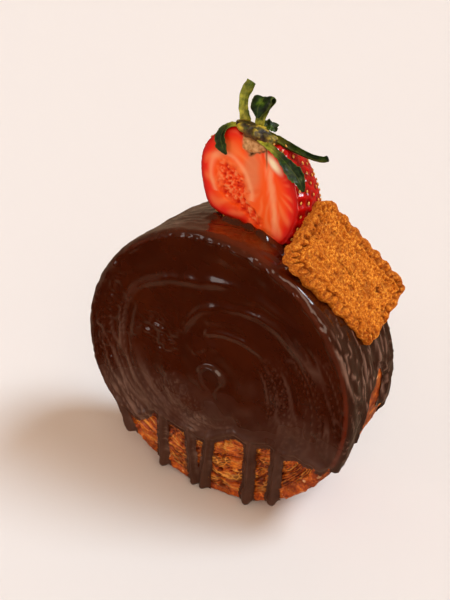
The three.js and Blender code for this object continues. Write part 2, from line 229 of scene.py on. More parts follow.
class Nodes:
    """Short-hand for building a material's node tree."""

    def __init__(self, name):
        self.material = bpy.data.materials.new(name)
        self.material.use_nodes = True
        self.tree = self.material.node_tree
        self.shader = self.tree.nodes["Principled BSDF"]
        self.coordinates = self.tree.nodes.new("ShaderNodeTexCoord").outputs["Object"]

    def link(self, source, target):
        self.tree.links.new(source, target)

    def set(self, **values):
        for key, value in values.items():
            self.shader.inputs[key.replace("_", " ")].default_value = value

    def attribute(self, name):
        node = self.tree.nodes.new("ShaderNodeAttribute")
        node.attribute_name = name
        return node.outputs["Fac"]

    def texture(self, kind, vector, **values):
        """A texture over the vector, or over the object's own coordinates."""
        node = self.tree.nodes.new("ShaderNodeTex" + kind)
        for key, value in values.items():
            node.inputs[key].default_value = value
        self.link(self.coordinates if vector is None else vector, node.inputs["Vector"])
        return node

    def noise(self, scale, detail=4.0, roughness=0.55, flat=None):
        node = self.texture("Noise", flat, Scale=scale, Detail=detail, Roughness=roughness)
        node.noise_dimensions = "2D" if flat else "3D"
        return node.outputs["Fac"]

    def cells(self, scale, feature="F1", flat=None):
        node = self.texture("Voronoi", flat, Scale=scale)
        node.feature = feature
        node.voronoi_dimensions = "2D" if flat else "3D"
        return node.outputs["Distance"]

    def flat_place(self, first, second):
        """Two attributes as the coordinates of a flat texture."""
        node = self.tree.nodes.new("ShaderNodeCombineXYZ")
        self.link(self.attribute(first), node.inputs["X"])
        self.link(self.attribute(second), node.inputs["Y"])
        return node.outputs["Vector"]

    def scaled(self, vector, scale):
        node = self.tree.nodes.new("ShaderNodeMapping")
        node.inputs["Scale"].default_value = scale
        self.link(vector, node.inputs["Vector"])
        return node.outputs["Vector"]

    def ramp(self, source, *stops):
        """Colours or numbers at places along the source's value."""
        node = self.tree.nodes.new("ShaderNodeValToRGB")
        elements = node.color_ramp.elements
        while len(elements) < len(stops):
            elements.new(0.5)
        for element, (place, colour) in zip(elements, stops):
            element.position = place
            element.color = (*colour, 1) if isinstance(colour, tuple) else (colour, colour, colour, 1)
        self.link(source, node.inputs["Fac"])
        return node.outputs["Color"]

    def feed(self, source, target):
        """Links a socket to the target, or sets the target to a number or a colour."""
        if isinstance(source, bpy.types.NodeSocket):
            self.link(source, target)
        elif isinstance(source, tuple):
            target.default_value = (*source, 1)
        else:
            target.default_value = source

    def mix(self, amount, first, second):
        node = self.tree.nodes.new("ShaderNodeMix")
        node.data_type = "RGBA"
        self.feed(amount, node.inputs[0])
        self.feed(first, node.inputs[6])
        self.feed(second, node.inputs[7])
        return node.outputs[2]

    def math(self, operation, first, second):
        node = self.tree.nodes.new("ShaderNodeMath")
        node.operation = operation
        self.feed(first, node.inputs[0])
        self.feed(second, node.inputs[1])
        return node.outputs[0]

    def colour(self, source):
        self.link(source, self.shader.inputs["Base Color"])

    def roughness(self, source, low, high):
        node = self.tree.nodes.new("ShaderNodeMapRange")
        node.inputs["To Min"].default_value = low
        node.inputs["To Max"].default_value = high
        self.link(source, node.inputs["Value"])
        self.link(node.outputs["Result"], self.shader.inputs["Roughness"])

    def bumps(self, *layers):
        """Each layer is a height, its strength and its depth in millimetres."""
        normal = None
        for height, strength, depth in layers:
            node = self.tree.nodes.new("ShaderNodeBump")
            node.inputs["Strength"].default_value = strength
            node.inputs["Distance"].default_value = depth * MM
            self.link(height, node.inputs["Height"])
            if normal is not None:
                self.link(normal, node.inputs["Normal"])
            normal = node.outputs["Normal"]
        self.link(normal, self.shader.inputs["Normal"])


def pastry_material():
    m = Nodes("baked_laminated_pastry")
    place = m.flat_place("around", "across")
    walls = m.ramp(m.cells(1.0, "DISTANCE_TO_EDGE", place), (0.08, 0.0), (0.26, 1.0))
    torn = m.ramp(m.noise(170, 3), (0.38, 0.0), (0.56, 0.8))
    holes = m.math("MULTIPLY", walls, torn)
    layers = m.ramp(m.attribute("layer"), (0.0, (0.035, 0.003, 0.0005)), (0.30, (0.19, 0.018, 0.001)),
                    (0.58, (0.46, 0.060, 0.002)), (0.82, (0.80, 0.210, 0.008)), (1.0, (1.0, 0.56, 0.09)))
    threads = m.ramp(m.noise(1.0, 3, 0.5, m.scaled(place, (0.45, 2.2, 1.0))),
                     (0.36, (0.10, 0.008, 0.0006)), (0.50, (0.50, 0.075, 0.002)),
                     (0.66, (0.86, 0.29, 0.022)))
    toast = m.ramp(m.noise(110, 4), (0.40, (0.26, 0.028, 0.002)), (0.56, (0.52, 0.085, 0.004)),
                   (0.72, (0.75, 0.21, 0.014)))
    crust = m.ramp(m.noise(300, 5, 0.7), (0.32, (0.08, 0.007, 0.0006)), (0.48, (0.34, 0.042, 0.002)),
                   (0.60, (0.66, 0.135, 0.006)), (0.74, (1.0, 0.46, 0.09)))
    flakes = m.ramp(m.noise(420, 1), (0.68, 0.0), (0.73, 0.75))
    crumb_and_pit_shade = m.mix(0.3, m.mix(0.5, layers, threads), toast)
    # painted shade: the holes between the cells darkened
    crumb_and_pit_shade = m.mix(holes, crumb_and_pit_shade, (0.085, 0.008, 0.0008))
    body = m.mix(m.attribute("crust"), crumb_and_pit_shade, m.mix(flakes, crust, (0.95, 0.50, 0.22)))
    # scorched patches and dark seams, and painted shade low on the rim near the ground
    m.colour(m.mix(m.attribute("scorch_and_ground_shade"), body, (0.085, 0.014, 0.002)))
    m.roughness(m.mix(m.attribute("crust"), m.noise(300, 3), m.noise(180, 2)), 0.2, 0.6)
    m.set(Specular_IOR_Level=0.35)
    pits = m.math("MULTIPLY", holes, m.math("SUBTRACT", 1.0, m.attribute("crust")))
    m.bumps((m.math("SUBTRACT", 1.0, pits), 0.8, 0.5), (m.noise(1400, 4), 0.4, 0.2))
    return m.material


def glaze_material():
    m = Nodes("poured_chocolate_glaze")
    dark = m.ramp(m.noise(45, 3), (0.3, (0.034, 0.0045, 0.0006)), (0.75, (0.056, 0.0085, 0.0012)))
    # painted sheen: a greyish-brown reflection of the pale floor, put into the base colour where the glaze
    # is dull
    dull_and_painted_sheen = m.ramp(m.noise(140, 3), (0.3, (0.060, 0.019, 0.009)), (0.75, (0.092, 0.033, 0.018)))
    body = m.mix(m.attribute("dull_and_painted_sheen"), dark, dull_and_painted_sheen)
    # painted highlight: pale streaks and ridges standing in for glints on the glaze
    body = m.mix(m.math("MULTIPLY", m.attribute("painted_highlight"), 0.7), body, (0.24, 0.13, 0.09))
    # painted shade: the lower right of the rim, under the biscuit, turned near-black
    body = m.mix(m.attribute("painted_rim_shade"), body, (0.014, 0.003, 0.0008))
    m.colour(m.mix(m.attribute("thin"), body, (0.36, 0.030, 0.002)))
    m.roughness(m.attribute("dull_and_painted_sheen"), 0.15, 0.38)
    m.set(Specular_IOR_Level=0.42, Coat_Weight=0.15, Coat_Roughness=0.06)
    m.bumps((m.noise(120, 3), 0.15, 0.5), (m.noise(900, 3), 0.08, 0.10))
    return m.material


def flesh_material():
    m = Nodes("strawberry_flesh")
    flesh = m.ramp(m.attribute("depth"), (0.0, (0.52, 0.003, 0.001)), (0.30, (0.84, 0.018, 0.001)),
                   (0.62, (0.96, 0.075, 0.002)), (1.0, (0.98, 0.105, 0.005)))
    flesh = m.mix(m.math("MULTIPLY", m.attribute("rays"), 0.40), flesh, (0.98, 0.30, 0.09))
    flesh = m.mix(m.math("MULTIPLY", m.attribute("pith"), 0.80), flesh, (0.78, 0.22, 0.085))
    flesh = m.mix(m.attribute("vein"), flesh, (1.0, 0.48, 0.24))
    # painted shade: the torn flesh in the hollow darker where it lies lower
    torn = m.ramp(m.attribute("crumb_and_pit_shade"), (0.1, (0.95, 0.24, 0.08)), (0.45, (0.88, 0.070, 0.008)),
                  (0.9, (0.55, 0.010, 0.001)))
    flesh = m.mix(m.attribute("hollow"), flesh, torn)
    flesh = m.mix(m.attribute("white"), flesh, (0.97, 0.80, 0.52))
    tan = m.ramp(m.noise(700, 4), (0.3, (0.34, 0.13, 0.03)), (0.7, (0.72, 0.42, 0.18)))
    flesh = m.mix(m.attribute("receptacle"), flesh, tan)
    # painted shade: a near-black line in the groove at the wedge's edge and the top of the core
    flesh = m.mix(m.attribute("ledge_shade"), flesh, (0.06, 0.014, 0.002))
    m.colour(m.mix(m.attribute("skin"), flesh, (0.50, 0.004, 0.002)))
    m.roughness(m.noise(700, 3), 0.30, 0.55)
    m.set(Specular_IOR_Level=0.12)
    m.bumps((m.noise(1100, 4), 0.3, 0.15))
    return m.material


def skin_material():
    m = Nodes("strawberry_skin")
    skin = m.ramp(m.noise(240, 4), (0.3, (0.36, 0.0015, 0.0015)), (0.7, (0.62, 0.005, 0.003)))
    # painted shade: the skin darker in the seed pits
    m.colour(m.mix(m.attribute("pit"), skin, (0.24, 0.001, 0.001)))
    m.roughness(m.noise(500, 3), 0.10, 0.24)
    m.set(Specular_IOR_Level=0.5)
    m.bumps((m.noise(420, 3), 0.35, 0.4))
    return m.material


def seed_material():
    m = Nodes("strawberry_seed")
    m.colour(m.ramp(m.noise(900, 2), (0.35, (0.55, 0.18, 0.02)), (0.65, (0.80, 0.42, 0.07))))
    m.set(Roughness=0.35)
    return m.material


def calyx_material():
    m = Nodes("dried_calyx")
    tone = m.ramp(m.attribute("tone"), (0.20, (0.02, 0.009, 0.001)), (0.50, (0.10, 0.060, 0.001)),
                  (0.90, (0.50, 0.33, 0.010)))
    mottled = m.mix(m.ramp(m.noise(420, 3), (0.5, 0.0), (0.68, 0.8)), tone, (0.05, 0.07, 0.002))
    m.colour(m.mix(m.attribute("low"), mottled, (0.13, 0.05, 0.01)))
    m.roughness(m.noise(500, 3), 0.45, 0.75)
    m.bumps((m.noise(900, 5), 0.6, 0.5))
    return m.material


def leaf_material():
    name = "withered_sepal"
    if name in bpy.data.materials:
        return bpy.data.materials[name]
    m = Nodes(name)
    dark = m.ramp(m.noise(230, 4, 0.6), (0.38, (0.002, 0.008, 0.0006)), (0.55, (0.012, 0.036, 0.002)),
                  (0.70, (0.075, 0.13, 0.006)))
    pale = m.ramp(m.noise(330, 4, 0.6), (0.34, (0.07, 0.10, 0.003)), (0.62, (0.52, 0.50, 0.04)))
    body = m.mix(m.attribute("pale"), dark, pale)
    rib = m.ramp(m.attribute("across"), (0.0, 0.3), (0.10, 0.0))
    body = m.mix(rib, body, (0.20, 0.26, 0.03))
    edge = m.ramp(m.attribute("across"), (0.80, 0.0), (1.0, 0.5))
    m.colour(m.mix(edge, body, (0.13, 0.17, 0.02)))
    m.roughness(m.noise(600, 3), 0.28, 0.55)
    m.set(Specular_IOR_Level=0.3)
    m.bumps((m.noise(600, 5), 0.5, 0.4), (m.cells(800), 0.2, 0.2))
    return m.material


def biscuit_material():
    m = Nodes("caramelised_biscuit")
    body = m.ramp(m.noise(1100, 5, 0.75), (0.36, (0.24, 0.036, 0.002)), (0.50, (0.58, 0.145, 0.007)),
                  (0.66, (0.98, 0.42, 0.050)))
    body = m.mix(m.ramp(m.noise(120, 3), (0.45, 0.0), (0.70, 0.45)), body, (0.36, 0.070, 0.003))
    # painted shade: darker in the pores and the low grain
    body = m.mix(m.ramp(m.attribute("crumb_and_pit_shade"), (0.1, 0.6), (0.45, 0.0)), body, (0.15, 0.030, 0.003))
    # painted shade: the grooves of the pressed pattern darkened
    body = m.mix(m.math("MULTIPLY", m.attribute("groove_shade"), 0.55), body, (0.20, 0.045, 0.005))
    body = m.mix(m.math("MULTIPLY", m.attribute("rim"), 0.30), body, (0.42, 0.095, 0.008))
    sugar = m.ramp(m.noise(1700, 2), (0.66, 0.0), (0.72, 0.6))
    m.colour(m.mix(sugar, body, (0.92, 0.48, 0.12)))
    m.roughness(m.noise(500, 3), 0.55, 0.85)
    m.set(Specular_IOR_Level=0.10)
    m.bumps((m.noise(900, 5, 0.75), 0.75, 0.45), (m.noise(2200, 3), 0.4, 0.2))
    return m.material


# ---------------------------------------------------------------- the laminated pastry disc

COIL_PITCH = 9.0        # one turn of the rolled dough
LAYER_PITCH = 1.05      # one leaf of the laminated dough
CRUST_WIDTH = 5.0       # the outer turn's baked skin, seen on the faces
MIDDLE_RADIUS = 45      # turns angles into lengths half way out
SEAM_SPACING = 8.0      # between the seams round the rim
SKIN_SUNK = 0.35        # the mean surface lies this far inside the disc
DEEPEST, HIGHEST = -3, 0.1      # the pastry's relief stays between these
GROUND_GAP = 0.02
FLAT_SOFTNESS = 1.1     # how gently the rim runs into the flat it rests on


def face_layers(disc):
    """Depth below the face and tone, 0 dark to 1 gold, of the leaves on the two flat faces. The tone carries
    painted shade: darker where the leaves lie deeper.
    """
    side = np.sign(disc.y)
    x, z = disc.x * side, disc.z
    around = disc.from_top * MIDDLE_RADIUS
    drift = 2.2 * noise(around / 15, disc.radius / 14, side, 3)
    drift = drift + 0.8 * noise(around / 6, disc.radius / 6, side, 4)
    warped = disc.radius + drift
    coil = (warped + COIL_PITCH * disc.from_top / (2 * math.pi)) / COIL_PITCH
    seam = np.abs(coil - np.round(coil)) * COIL_PITCH
    wander = 0.30 * noise(around / 3.5, warped / 1.6, side, 7)
    leaf = (warped + wander) / LAYER_PITCH
    strand = 0.5 + 0.5 * np.cos(2 * math.pi * leaf)
    gap = (1 - strand) ** 2.2
    opened = smoothstep(-0.25, 0.35, noise(around / 5.5 + 40 * side, warped / 1.7, 0, 9))
    cross = smoothstep(0.35, 0.6, np.abs(noise(around / 2.4, warped / 3.2, side, 14)))
    lifted = noise(around / 9, np.floor(leaf + 0.5) * 1.7, side, 10)
    hole = smoothstep(0.32, 0.6, noise(around / 3.2, warped / 1.5, side, 15))
    depth = 1.2 * gap * (0.10 + 0.90 * opened) * (1 - 0.6 * cross) + 0.9 * hole + 1.1 * bump(seam, 0.5)
    depth = depth - 0.35 * lifted + 0.12 * fractal(x / 1.2, z / 1.2, side, 11, 2)
    # painted shade: the tone darker where the leaves lie deeper, lighter where they lift
    tone = 0.88 - 0.52 * np.clip(depth, 0, 2) + 0.22 * lifted
    tone = tone + 0.20 * noise(around / 4, warped / 2.5, side, 12)
    tone = tone + 0.12 * noise(x / 0.9, z / 0.9, side, 13)
    return depth, np.clip(tone, 0, 1), warped / 0.9, around / 2.8


def croissant_roll():
    disc = Disc(segments=480, front_step=0.30, rim_step=1.3, back_step=0.9,
                inner_step=2.0, inner_radius=30, crowding=0.42)
    depth, tone, across, around = face_layers(disc)
    face = smoothstep(0.3, 0.95, np.abs(disc.out_y))
    edge = disc.radius + 1.3 * noise(disc.x / 3.5, disc.z / 3.5, np.sign(disc.y), 21)
    crust = smoothstep(ROLL_RADIUS - CRUST_WIDTH - 0.5, ROLL_RADIUS - CRUST_WIDTH + 0.5, edge)
    crust = np.maximum(crust, 1 - face)
    blisters = smoothstep(0.30, 0.75, noise(disc.x / 1.7, disc.z / 1.7, disc.y / 1.7, 22))
    wrinkles = fractal(disc.x / 4, disc.z / 4, disc.y / 9, 23, 3)
    skin = 0.45 * blisters + 0.32 * wrinkles
    wandering = disc.y + 2.2 * noise(disc.from_top * 3, 0, 0, 24)
    seams = bump(np.mod(wandering, SEAM_SPACING) - SEAM_SPACING / 2, 0.45)
    height = -depth * (1 - crust) + crust * (skin - (1 - face) * 0.5 * seams)
    points = disc.points(np.clip(height - SKIN_SUNK, DEEPEST, HIGHEST))
    above = points[:, 2]
    points[:, 2] = GROUND_GAP + 0.5 * (above + np.hypot(above, FLAT_SOFTNESS))
    # painted shade: the rim darker within 14 mm of the ground it stands on
    painted_ground_shade = smoothstep(14, 0, points[:, 2]).reshape(disc.x.shape)
    patches = smoothstep(0.0, 0.6, noise(disc.x / 6, disc.z / 6, disc.y / 6, 25))
    scorch_and_ground_shade = 0.35 * painted_ground_shade * (1 - face) + 0.42 * patches + 0.5 * (1 - face) * seams
    piece = mesh_piece("laminated_roll", points, disc.faces(), [pastry_material()],
                       {"layer": tone, "crust": crust * 0.9, "scorch_and_ground_shade": np.clip(scorch_and_ground_shade, 0, 0.85),
                        "across": across, "around": around})
    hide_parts("croissant_roll")


# ---------------------------------------------------------------- the glaze

# Where the glaze ends on the faces: x, and z seen from the axis.
FRONT_EDGE = np.array([
    [-70, -12], [-57.8, -14], [-55.4, -19.5], [-52.8, -25], [-50.4, -29], [-47, -31], [-40, -35],
    [-36.5, -34.5], [-33, -33], [-29, -28.5], [-21, -31], [-8, -33.5], [-3, -33.5], [1, -31.5],
    [6, -28.5], [10, -26.5], [15, -27.5], [22, -26.5], [26, -25], [33, -28], [38, -26], [43, -26.8],
    [49, -28], [54, -24], [70, -24],
])
FRONT_DRIPS = (  # x at the top and at the tip, height of the tip, width
    (-50.2, -41.8, -44.2, 3.0), (-25.2, -24.9, -55.0, 3.4), (-13.0, -9.4, -58.2, 3.1),
    (-0.8, -5.0, -58.8, 3.3), (18.2, 16.0, -57.9, 3.7), (30.4, 28.0, -53.0, 3.5),
)
BACK_EDGE = np.array([
    [-70, -18], [-50, -22], [-40, -20], [-28, -27], [-16, -25], [-4, -30], [8, -26], [20, -29],
    [32, -24], [44, -26], [60, -16], [70, -16],
])
BACK_DRIPS = (
    (-44.0, -43.0, -34.0, 5.0), (-27.0, -27.5, -47.0, 4.8), (-12.0, -12.0, -39.0, 4.2),
    (3.0, 3.5, -55.0, 4.8), (21.0, 20.0, -44.0, 4.4), (38.0, 37.0, -38.0, 4.6),
)
# The edge round the rim: y, and millimetres down from the axis's level.
RIGHT_EDGE = np.array([
    [-21, 23], [-17, 18], [-13, 14.5], [-9, 11], [-7, 5], [-4, 1], [-1, -2], [3, -5], [7, -9],
    [9.5, -9], [12, -3], [21, 2],
])
LEFT_EDGE = np.array([[-21, 7], [-17, 9], [-12, 20], [-7, 24], [0, 30], [7, 24], [14, 27], [21, 22]])
# Runs down the rim: y and millimetres down at the start and at the tip, and the width.
RIGHT_RIM_RUNS = (
    (-14.5, -6, -18.5, 27, 8.0), (-3.6, -8, -10.5, 17, 2.4), (15.8, -6, 14.2, 12, 6.6),
)
LEFT_RIM_RUNS = (
    (-10.0, 10, -11.0, 41, 4.4), (-1.5, 10, -1.0, 47, 5.0), (6.5, 10, 7.0, 35, 4.0),
    (15.0, 10, 15.5, 43, 4.8),
)
MENISCUS = 2.0          # how far in from its edge the glaze reaches its full thickness
GLAZE_THICKNESS = 0.95
RUN_THICKNESS = 1.25    # what a run adds in its middle
LIP_HEIGHT = 0.45       # what the glaze's rounded edge adds
TUCK = 2.6              # how deep the skin goes under the crust beyond its edge
GLAZE_LIMIT = 2.9       # the skin stays within this of the disc
KEPT_BEYOND = 1.2       # how far beyond its edge the skin goes on, out of sight
LOWEST_GLAZE = 0.3      # the drips end this far above the ground
OFF_THE_FACE = -4.0     # cover of the points that a face's glaze doesn't reach
PAD_LIMIT = 6.5         # the glaze swells no more than this to hold the biscuit


def to_segment(px, py, ax, ay, bx, by):
    """Distance of points from a segment, and the share of the way along it."""
    dx, dy = bx - ax, by - ay
    along = np.clip(((px - ax) * dx + (py - ay) * dy) / (dx * dx + dy * dy), 0, 1)
    return np.hypot(px - ax - along * dx, py - ay - along * dy), along


def soft_union(first, second, reach):
    """The larger of two depths, with a fillet where they meet."""
    blend = np.clip(0.5 + 0.5 * (first - second) / reach, 0, 1)
    return second + (first - second) * blend + reach * blend * (1 - blend)


def runs_cover(across, down, runs, cover, seed):
    """Adds runs to a cover, and says how thick they are there."""
    bead = np.zeros_like(across)
    for top_x, top, tip_x, tip, width in runs:
        sway = 0.35 * noise(down / 4, top_x, 0, seed + 1)
        distance, along = to_segment(across + sway, down, top_x, top, tip_x, tip - width / 2)
        half = width / 2 * (0.80 + 0.46 * along ** 8 + 0.12 * noise(down / 3, tip_x, 0, seed + 2))
        cover = soft_union(cover, half - distance, 1.0)
        across_bead = np.sqrt(np.clip(1 - (distance / half) ** 2, 0, 1))
        bead = np.maximum(bead, across_bead * smoothstep(0.15, 0.45, along))
    return cover, bead


def face_cover(disc, side, edge, drips, seed):
    """How deep inside the glazed part of a face each point lies, and how thick the drips are there."""
    x, z = disc.x * side, disc.z
    line = np.interp(x, edge[:, 0], edge[:, 1]) + 0.5 * noise(x / 2.5, 0, 0, seed)
    on_face = disc.out_y * -side > 0.5
    cover = np.where(on_face, (z - line) * 0.85, OFF_THE_FACE)
    stretch = disc.unrolled / disc.radius
    runs = [(top_x, 20, tip_x, -tip, width) for top_x, tip_x, tip, width in drips]
    covered, bead = runs_cover(x * stretch, -z * stretch, runs, cover, seed)
    near = disc.y * side < 0
    return np.where(near, covered, OFF_THE_FACE), bead * near


def rim_cover(disc):
    """The same for the rim, laid out flat: y, and how far round it a point is below the axis."""
    down = np.arctan2(-disc.z, np.abs(disc.x)) * ROLL_RADIUS
    wobble = 0.9 * noise(disc.y / 3, np.sign(disc.x), 0, 31)
    covers, beads = [], []
    for edge, runs, seed in ((RIGHT_EDGE, RIGHT_RIM_RUNS, 34), (LEFT_EDGE, LEFT_RIM_RUNS, 37)):
        cover = (np.interp(disc.y, *edge.T) + wobble - down) * 0.8
        cover, bead = runs_cover(disc.y, down, runs, cover, seed)
        covers.append(cover)
        beads.append(bead * smoothstep(-8, 4, down))
    right = disc.x > 0
    return np.where(right, *covers), np.where(right, *beads)


# Ridges that the poured glaze set in: angle in degrees and distance from the middle at a few places,
# clockwise, then the height and the half width.
RIDGES = (
    (((190, 45), (180, 44), (165, 44.5), (150, 45.5), (140, 46), (131, 44.5), (122, 43), (110, 41),
      (95, 40.2), (80, 42.5), (68, 45)),
     0.85, 1.3),
    (((135, 20), (122, 22.5), (112, 25), (100, 28.5), (89, 30.2), (78, 32.5), (68, 35), (57, 38.5),
      (44, 41.5), (30, 44), (12, 48)),
     0.75, 1.2),
    (((104, 16.5), (96, 18.5), (82, 20), (68, 21.8), (58, 23.5), (48, 25.2), (38, 27.4), (30, 29)),
     0.8, 1.1),
    (((170, 38), (163, 37.5), (158, 36)),
     0.5, 1.0),
    (((66, 44), (54, 46), (40, 49), (25, 51.5), (8, 53)),
     0.4, 1.0),
    (((140, 11), (120, 11.5), (95, 12.5), (70, 13)),
     0.35, 1.0),
)
SPIRAL_SLOPE = 0.17     # how fast the brushed streaks open, clockwise
BACK_SWIRL_TURN = 150   # the back was poured the same way, turned by this much


def ridge_relief(x, z):
    radius = np.hypot(x, z)
    angle = np.degrees(np.arctan2(z, x))
    total = np.zeros_like(x)
    for places, tall, width in RIDGES:
        start, first_radius = places[0]
        end = places[-1][0]
        swept = np.where(angle < end - 1e-6, angle + 360, angle)
        along = (start - swept) / (start - end)
        fade = smoothstep(-0.02, 0.12, along) * smoothstep(1.02, 0.8, along)
        middle = np.interp(swept, *np.array(places[::-1], float).T)
        off = radius - middle - 0.35 * noise(swept / 9, first_radius, 0, 51)
        reach = 1.35 * width
        height = bump(off, reach) - 0.45 * bump(off + 2.0 * reach, reach)
        height = height - 0.2 * bump(off - 2.4 * reach, 1.5 * reach)
        total = total + fade * tall * (0.8 + 0.3 * noise(swept / 14, first_radius + 5, 0, 52)) * height
    return total


def streak_family(across, degrees, count, length, seed):
    """Thin raised lines side by side: where smooth noise that is stretched along them crosses zero."""
    value = noise(across * count, degrees / length, 0, seed)
    return (1 - np.clip(np.abs(value) * 2.2, 0, 1)) ** 1.6


def centre_pit(x, z):
    """The small well that the last of the glaze swirled into, hooded at the top and open below."""
    px, pz = x + 1.0, z + 2.0
    reach = np.hypot(px, pz * np.where(pz > 0, 1.12, 0.80))
    upper = smoothstep(-1.5, 2.5, pz + 0.3 * px)
    wall = smoothstep(4.4, 3.0, reach) * upper + smoothstep(5.6, 2.0, reach) * (1 - upper)
    hood = bump(reach - 5.2, 1.1) * (0.10 + 1.0 * upper)
    knob = bump(np.hypot(px - 0.4, pz + 0.2), 1.2)
    run = bump(px - 0.4, 2.4) * smoothstep(-3, -6, pz) * smoothstep(-13, -9.5, pz)
    return -2.7 * wall + 1.1 * hood + 2.0 * knob - 0.7 * run, smoothstep(3.0, 8.5, reach)


def front_relief(x, z):
    """How far the glaze's front stands out of its mean surface, and where its streaks and ridges get a
    painted highlight.
    """
    radius = np.maximum(np.hypot(x, z), 0.5)
    angle = np.arctan2(z, x)
    cut = np.mod(math.pi / 2 - angle, 2 * math.pi)      # clockwise from the top, where the streaks fade out
    across = np.log(radius) - SPIRAL_SLOPE * cut
    degrees = np.degrees(cut)
    sides = smoothstep(30, 75, degrees) * smoothstep(325, 275, degrees)
    left = smoothstep(178, 205, degrees) * smoothstep(272, 236, degrees)
    ring = smoothstep(13, 24, radius) * smoothstep(59.5, 55, radius)
    patchy = 0.6 + 0.6 * smoothstep(-0.4, 0.5, noise(across * 5, degrees / 45, 0, 60))
    lines = streak_family(across, degrees, 20, 42, 61)
    lines = np.maximum(lines, 0.85 * streak_family(across, degrees, 42, 26, 62))
    streaks = lines * (0.30 + 0.55 * left) * sides * ring * patchy
    dimples = (0.26 + 0.14 * smoothstep(0, -20, z)) * fractal(x / 9, z / 9, 0, 63, 2)
    dimples = dimples + 0.07 * noise(x / 2.4, z / 2.4, 0, 64)
    pebbles = 0.40 * noise(x / 2.6, z / 2.3, 0, 65) * smoothstep(-36, -46, x) * smoothstep(-24, -4, z)
    pebbles = pebbles * smoothstep(59, 54, radius)
    crumple = 0.55 * fractal(x / 3.4, z / 2.6, 0, 66, 2) * bump(np.hypot(x + 24, z - 12), 9.5)
    spot = -0.9 * bump(np.hypot((x - 45) / 0.8, (z + 15) / 1.5), 2.2)
    coil = 0.30 * np.cos(2 * math.pi * (radius / 15 + angle / (2 * math.pi))) * smoothstep(60, 50, radius)
    pit, clear = centre_pit(x, z)
    ridges = ridge_relief(x, z)
    relief = (0.75 * streaks + dimples + pebbles + crumple + spot + coil + ridges) * clear + pit
    return relief, streaks + 0.28 * np.clip(ridges, 0, 1) ** 2 * clear


def rim_relief(disc):
    """Runs round the rim: fine on top, coarse and loose lower down. Also where they get a painted highlight.
    """
    arc = disc.from_bottom * ROLL_RADIUS
    lean = disc.y + 0.12 * arc
    fine = streak_family(lean / 20, arc, 14, 60, 71)
    hairs = streak_family(lean / 20 + 0.02 * noise(arc / 20, 0, 0, 75), arc, 24, 70, 76) ** 2
    coarse = noise(lean / 2.6, arc / 34, 0, 72) + 0.5 * noise(lean / 1.1, arc / 22, 0, 74)
    lumps = 0.35 * fractal(disc.y / 7, arc / 16, 0, 73, 2)
    lumps = lumps + 0.10 * fractal(disc.y / 2.4, arc / 3.2, 0, 78, 2)
    low = smoothstep(48, 18, disc.z) * (0.35 + 0.65 * smoothstep(-45, -20, disc.x))
    relief = 0.42 * fine * (0.6 + 0.6 * low) + coarse * (0.06 + 0.18 * low)
    relief = relief + 0.45 * hairs * low + lumps
    patchy = smoothstep(-0.5, 0.2, noise(lean / 5, arc / 30, 0, 77))
    shoulder = bump(np.degrees(disc.angle) - 112, 9) * smoothstep(-19, -8, disc.y)
    sides = low * (disc.x > 0) + 1.4 * shoulder
    return relief, (1.4 * hairs + 0.1 * fine ** 3) * patchy * sides


def rim_bead(disc):
    """The thick uneven bead along the front edge, and how far along it the glaze is thin."""
    place = disc.radius + 1.6 * disc.out_radial * (disc.out_radial > 0.01) - (ROLL_RADIUS - 1.4)
    around = disc.from_bottom * ROLL_RADIUS
    front = (disc.y < 0) * np.where(disc.out_radial > 0.99, bump(disc.y + FACE_Y - 1.5, 1.6), 1)
    crest = 0.60 + 0.6 * noise(around / 4.0, 0, 0, 82) + 0.85 * noise(around / 1.9, place / 1.2, 0, 83)
    sway = 0.5 * noise(around / 6, 0, 0, 84)
    ridge = bump(place + 0.3 + sway, 0.75) + 0.6 * bump(place - 1.7 + sway, 0.6)
    return front * 0.62 * crest * ridge, front * bump(place - 0.6, 0.30)


def seen_from(disc, rotation, place):
    """The disc's points in a topping's own frame."""
    return (np.stack([disc.x, disc.y, disc.z], axis=-1) - np.array(place)) @ rotation


def pad_under_biscuit(disc):
    """How far the glaze swells to reach the back of the biscuit that it holds."""
    local = seen_from(disc, BISCUIT_TURN, BISCUIT_PLACE)
    outwards = np.stack([disc.x / disc.radius, np.zeros_like(disc.x), disc.z / disc.radius], axis=-1)
    outwards = outwards @ BISCUIT_TURN
    reach = (-BISCUIT_THICKNESS / 2 + 0.1 - local[..., 2]) / np.maximum(outwards[..., 2], 0.4)
    hit = np.abs(local + outwards * reach[..., None])
    inside = smoothstep(BISCUIT_LENGTH / 2 - 1.0, BISCUIT_LENGTH / 2 - 9, hit[..., 0])
    inside = inside * smoothstep(BISCUIT_WIDTH / 2 - 1.0, BISCUIT_WIDTH / 2 - 6, hit[..., 1])
    return inside * np.clip(reach, 0, PAD_LIMIT) * (disc.out_radial > 0.99) * (disc.x > 0)


def ridge_at_berry(disc):
    """The lumpy ridge of glaze in front of the berry's foot."""
    local = seen_from(disc, BERRY_TURN, BERRY_PLACE)
    across, forward = local[..., 0], local[..., 1] + 1.5 + 0.6 * noise(local[..., 0] / 4, 0, 0, 87)
    lumps = 0.9 + 0.7 * noise(across / 2.6, forward / 3, 0, 86)
    span = smoothstep(18, 12, np.abs(across + 1))
    return 1.4 * span * lumps * bump(forward, 1.3) * (disc.out_radial > 0.99) * (disc.z > 0)


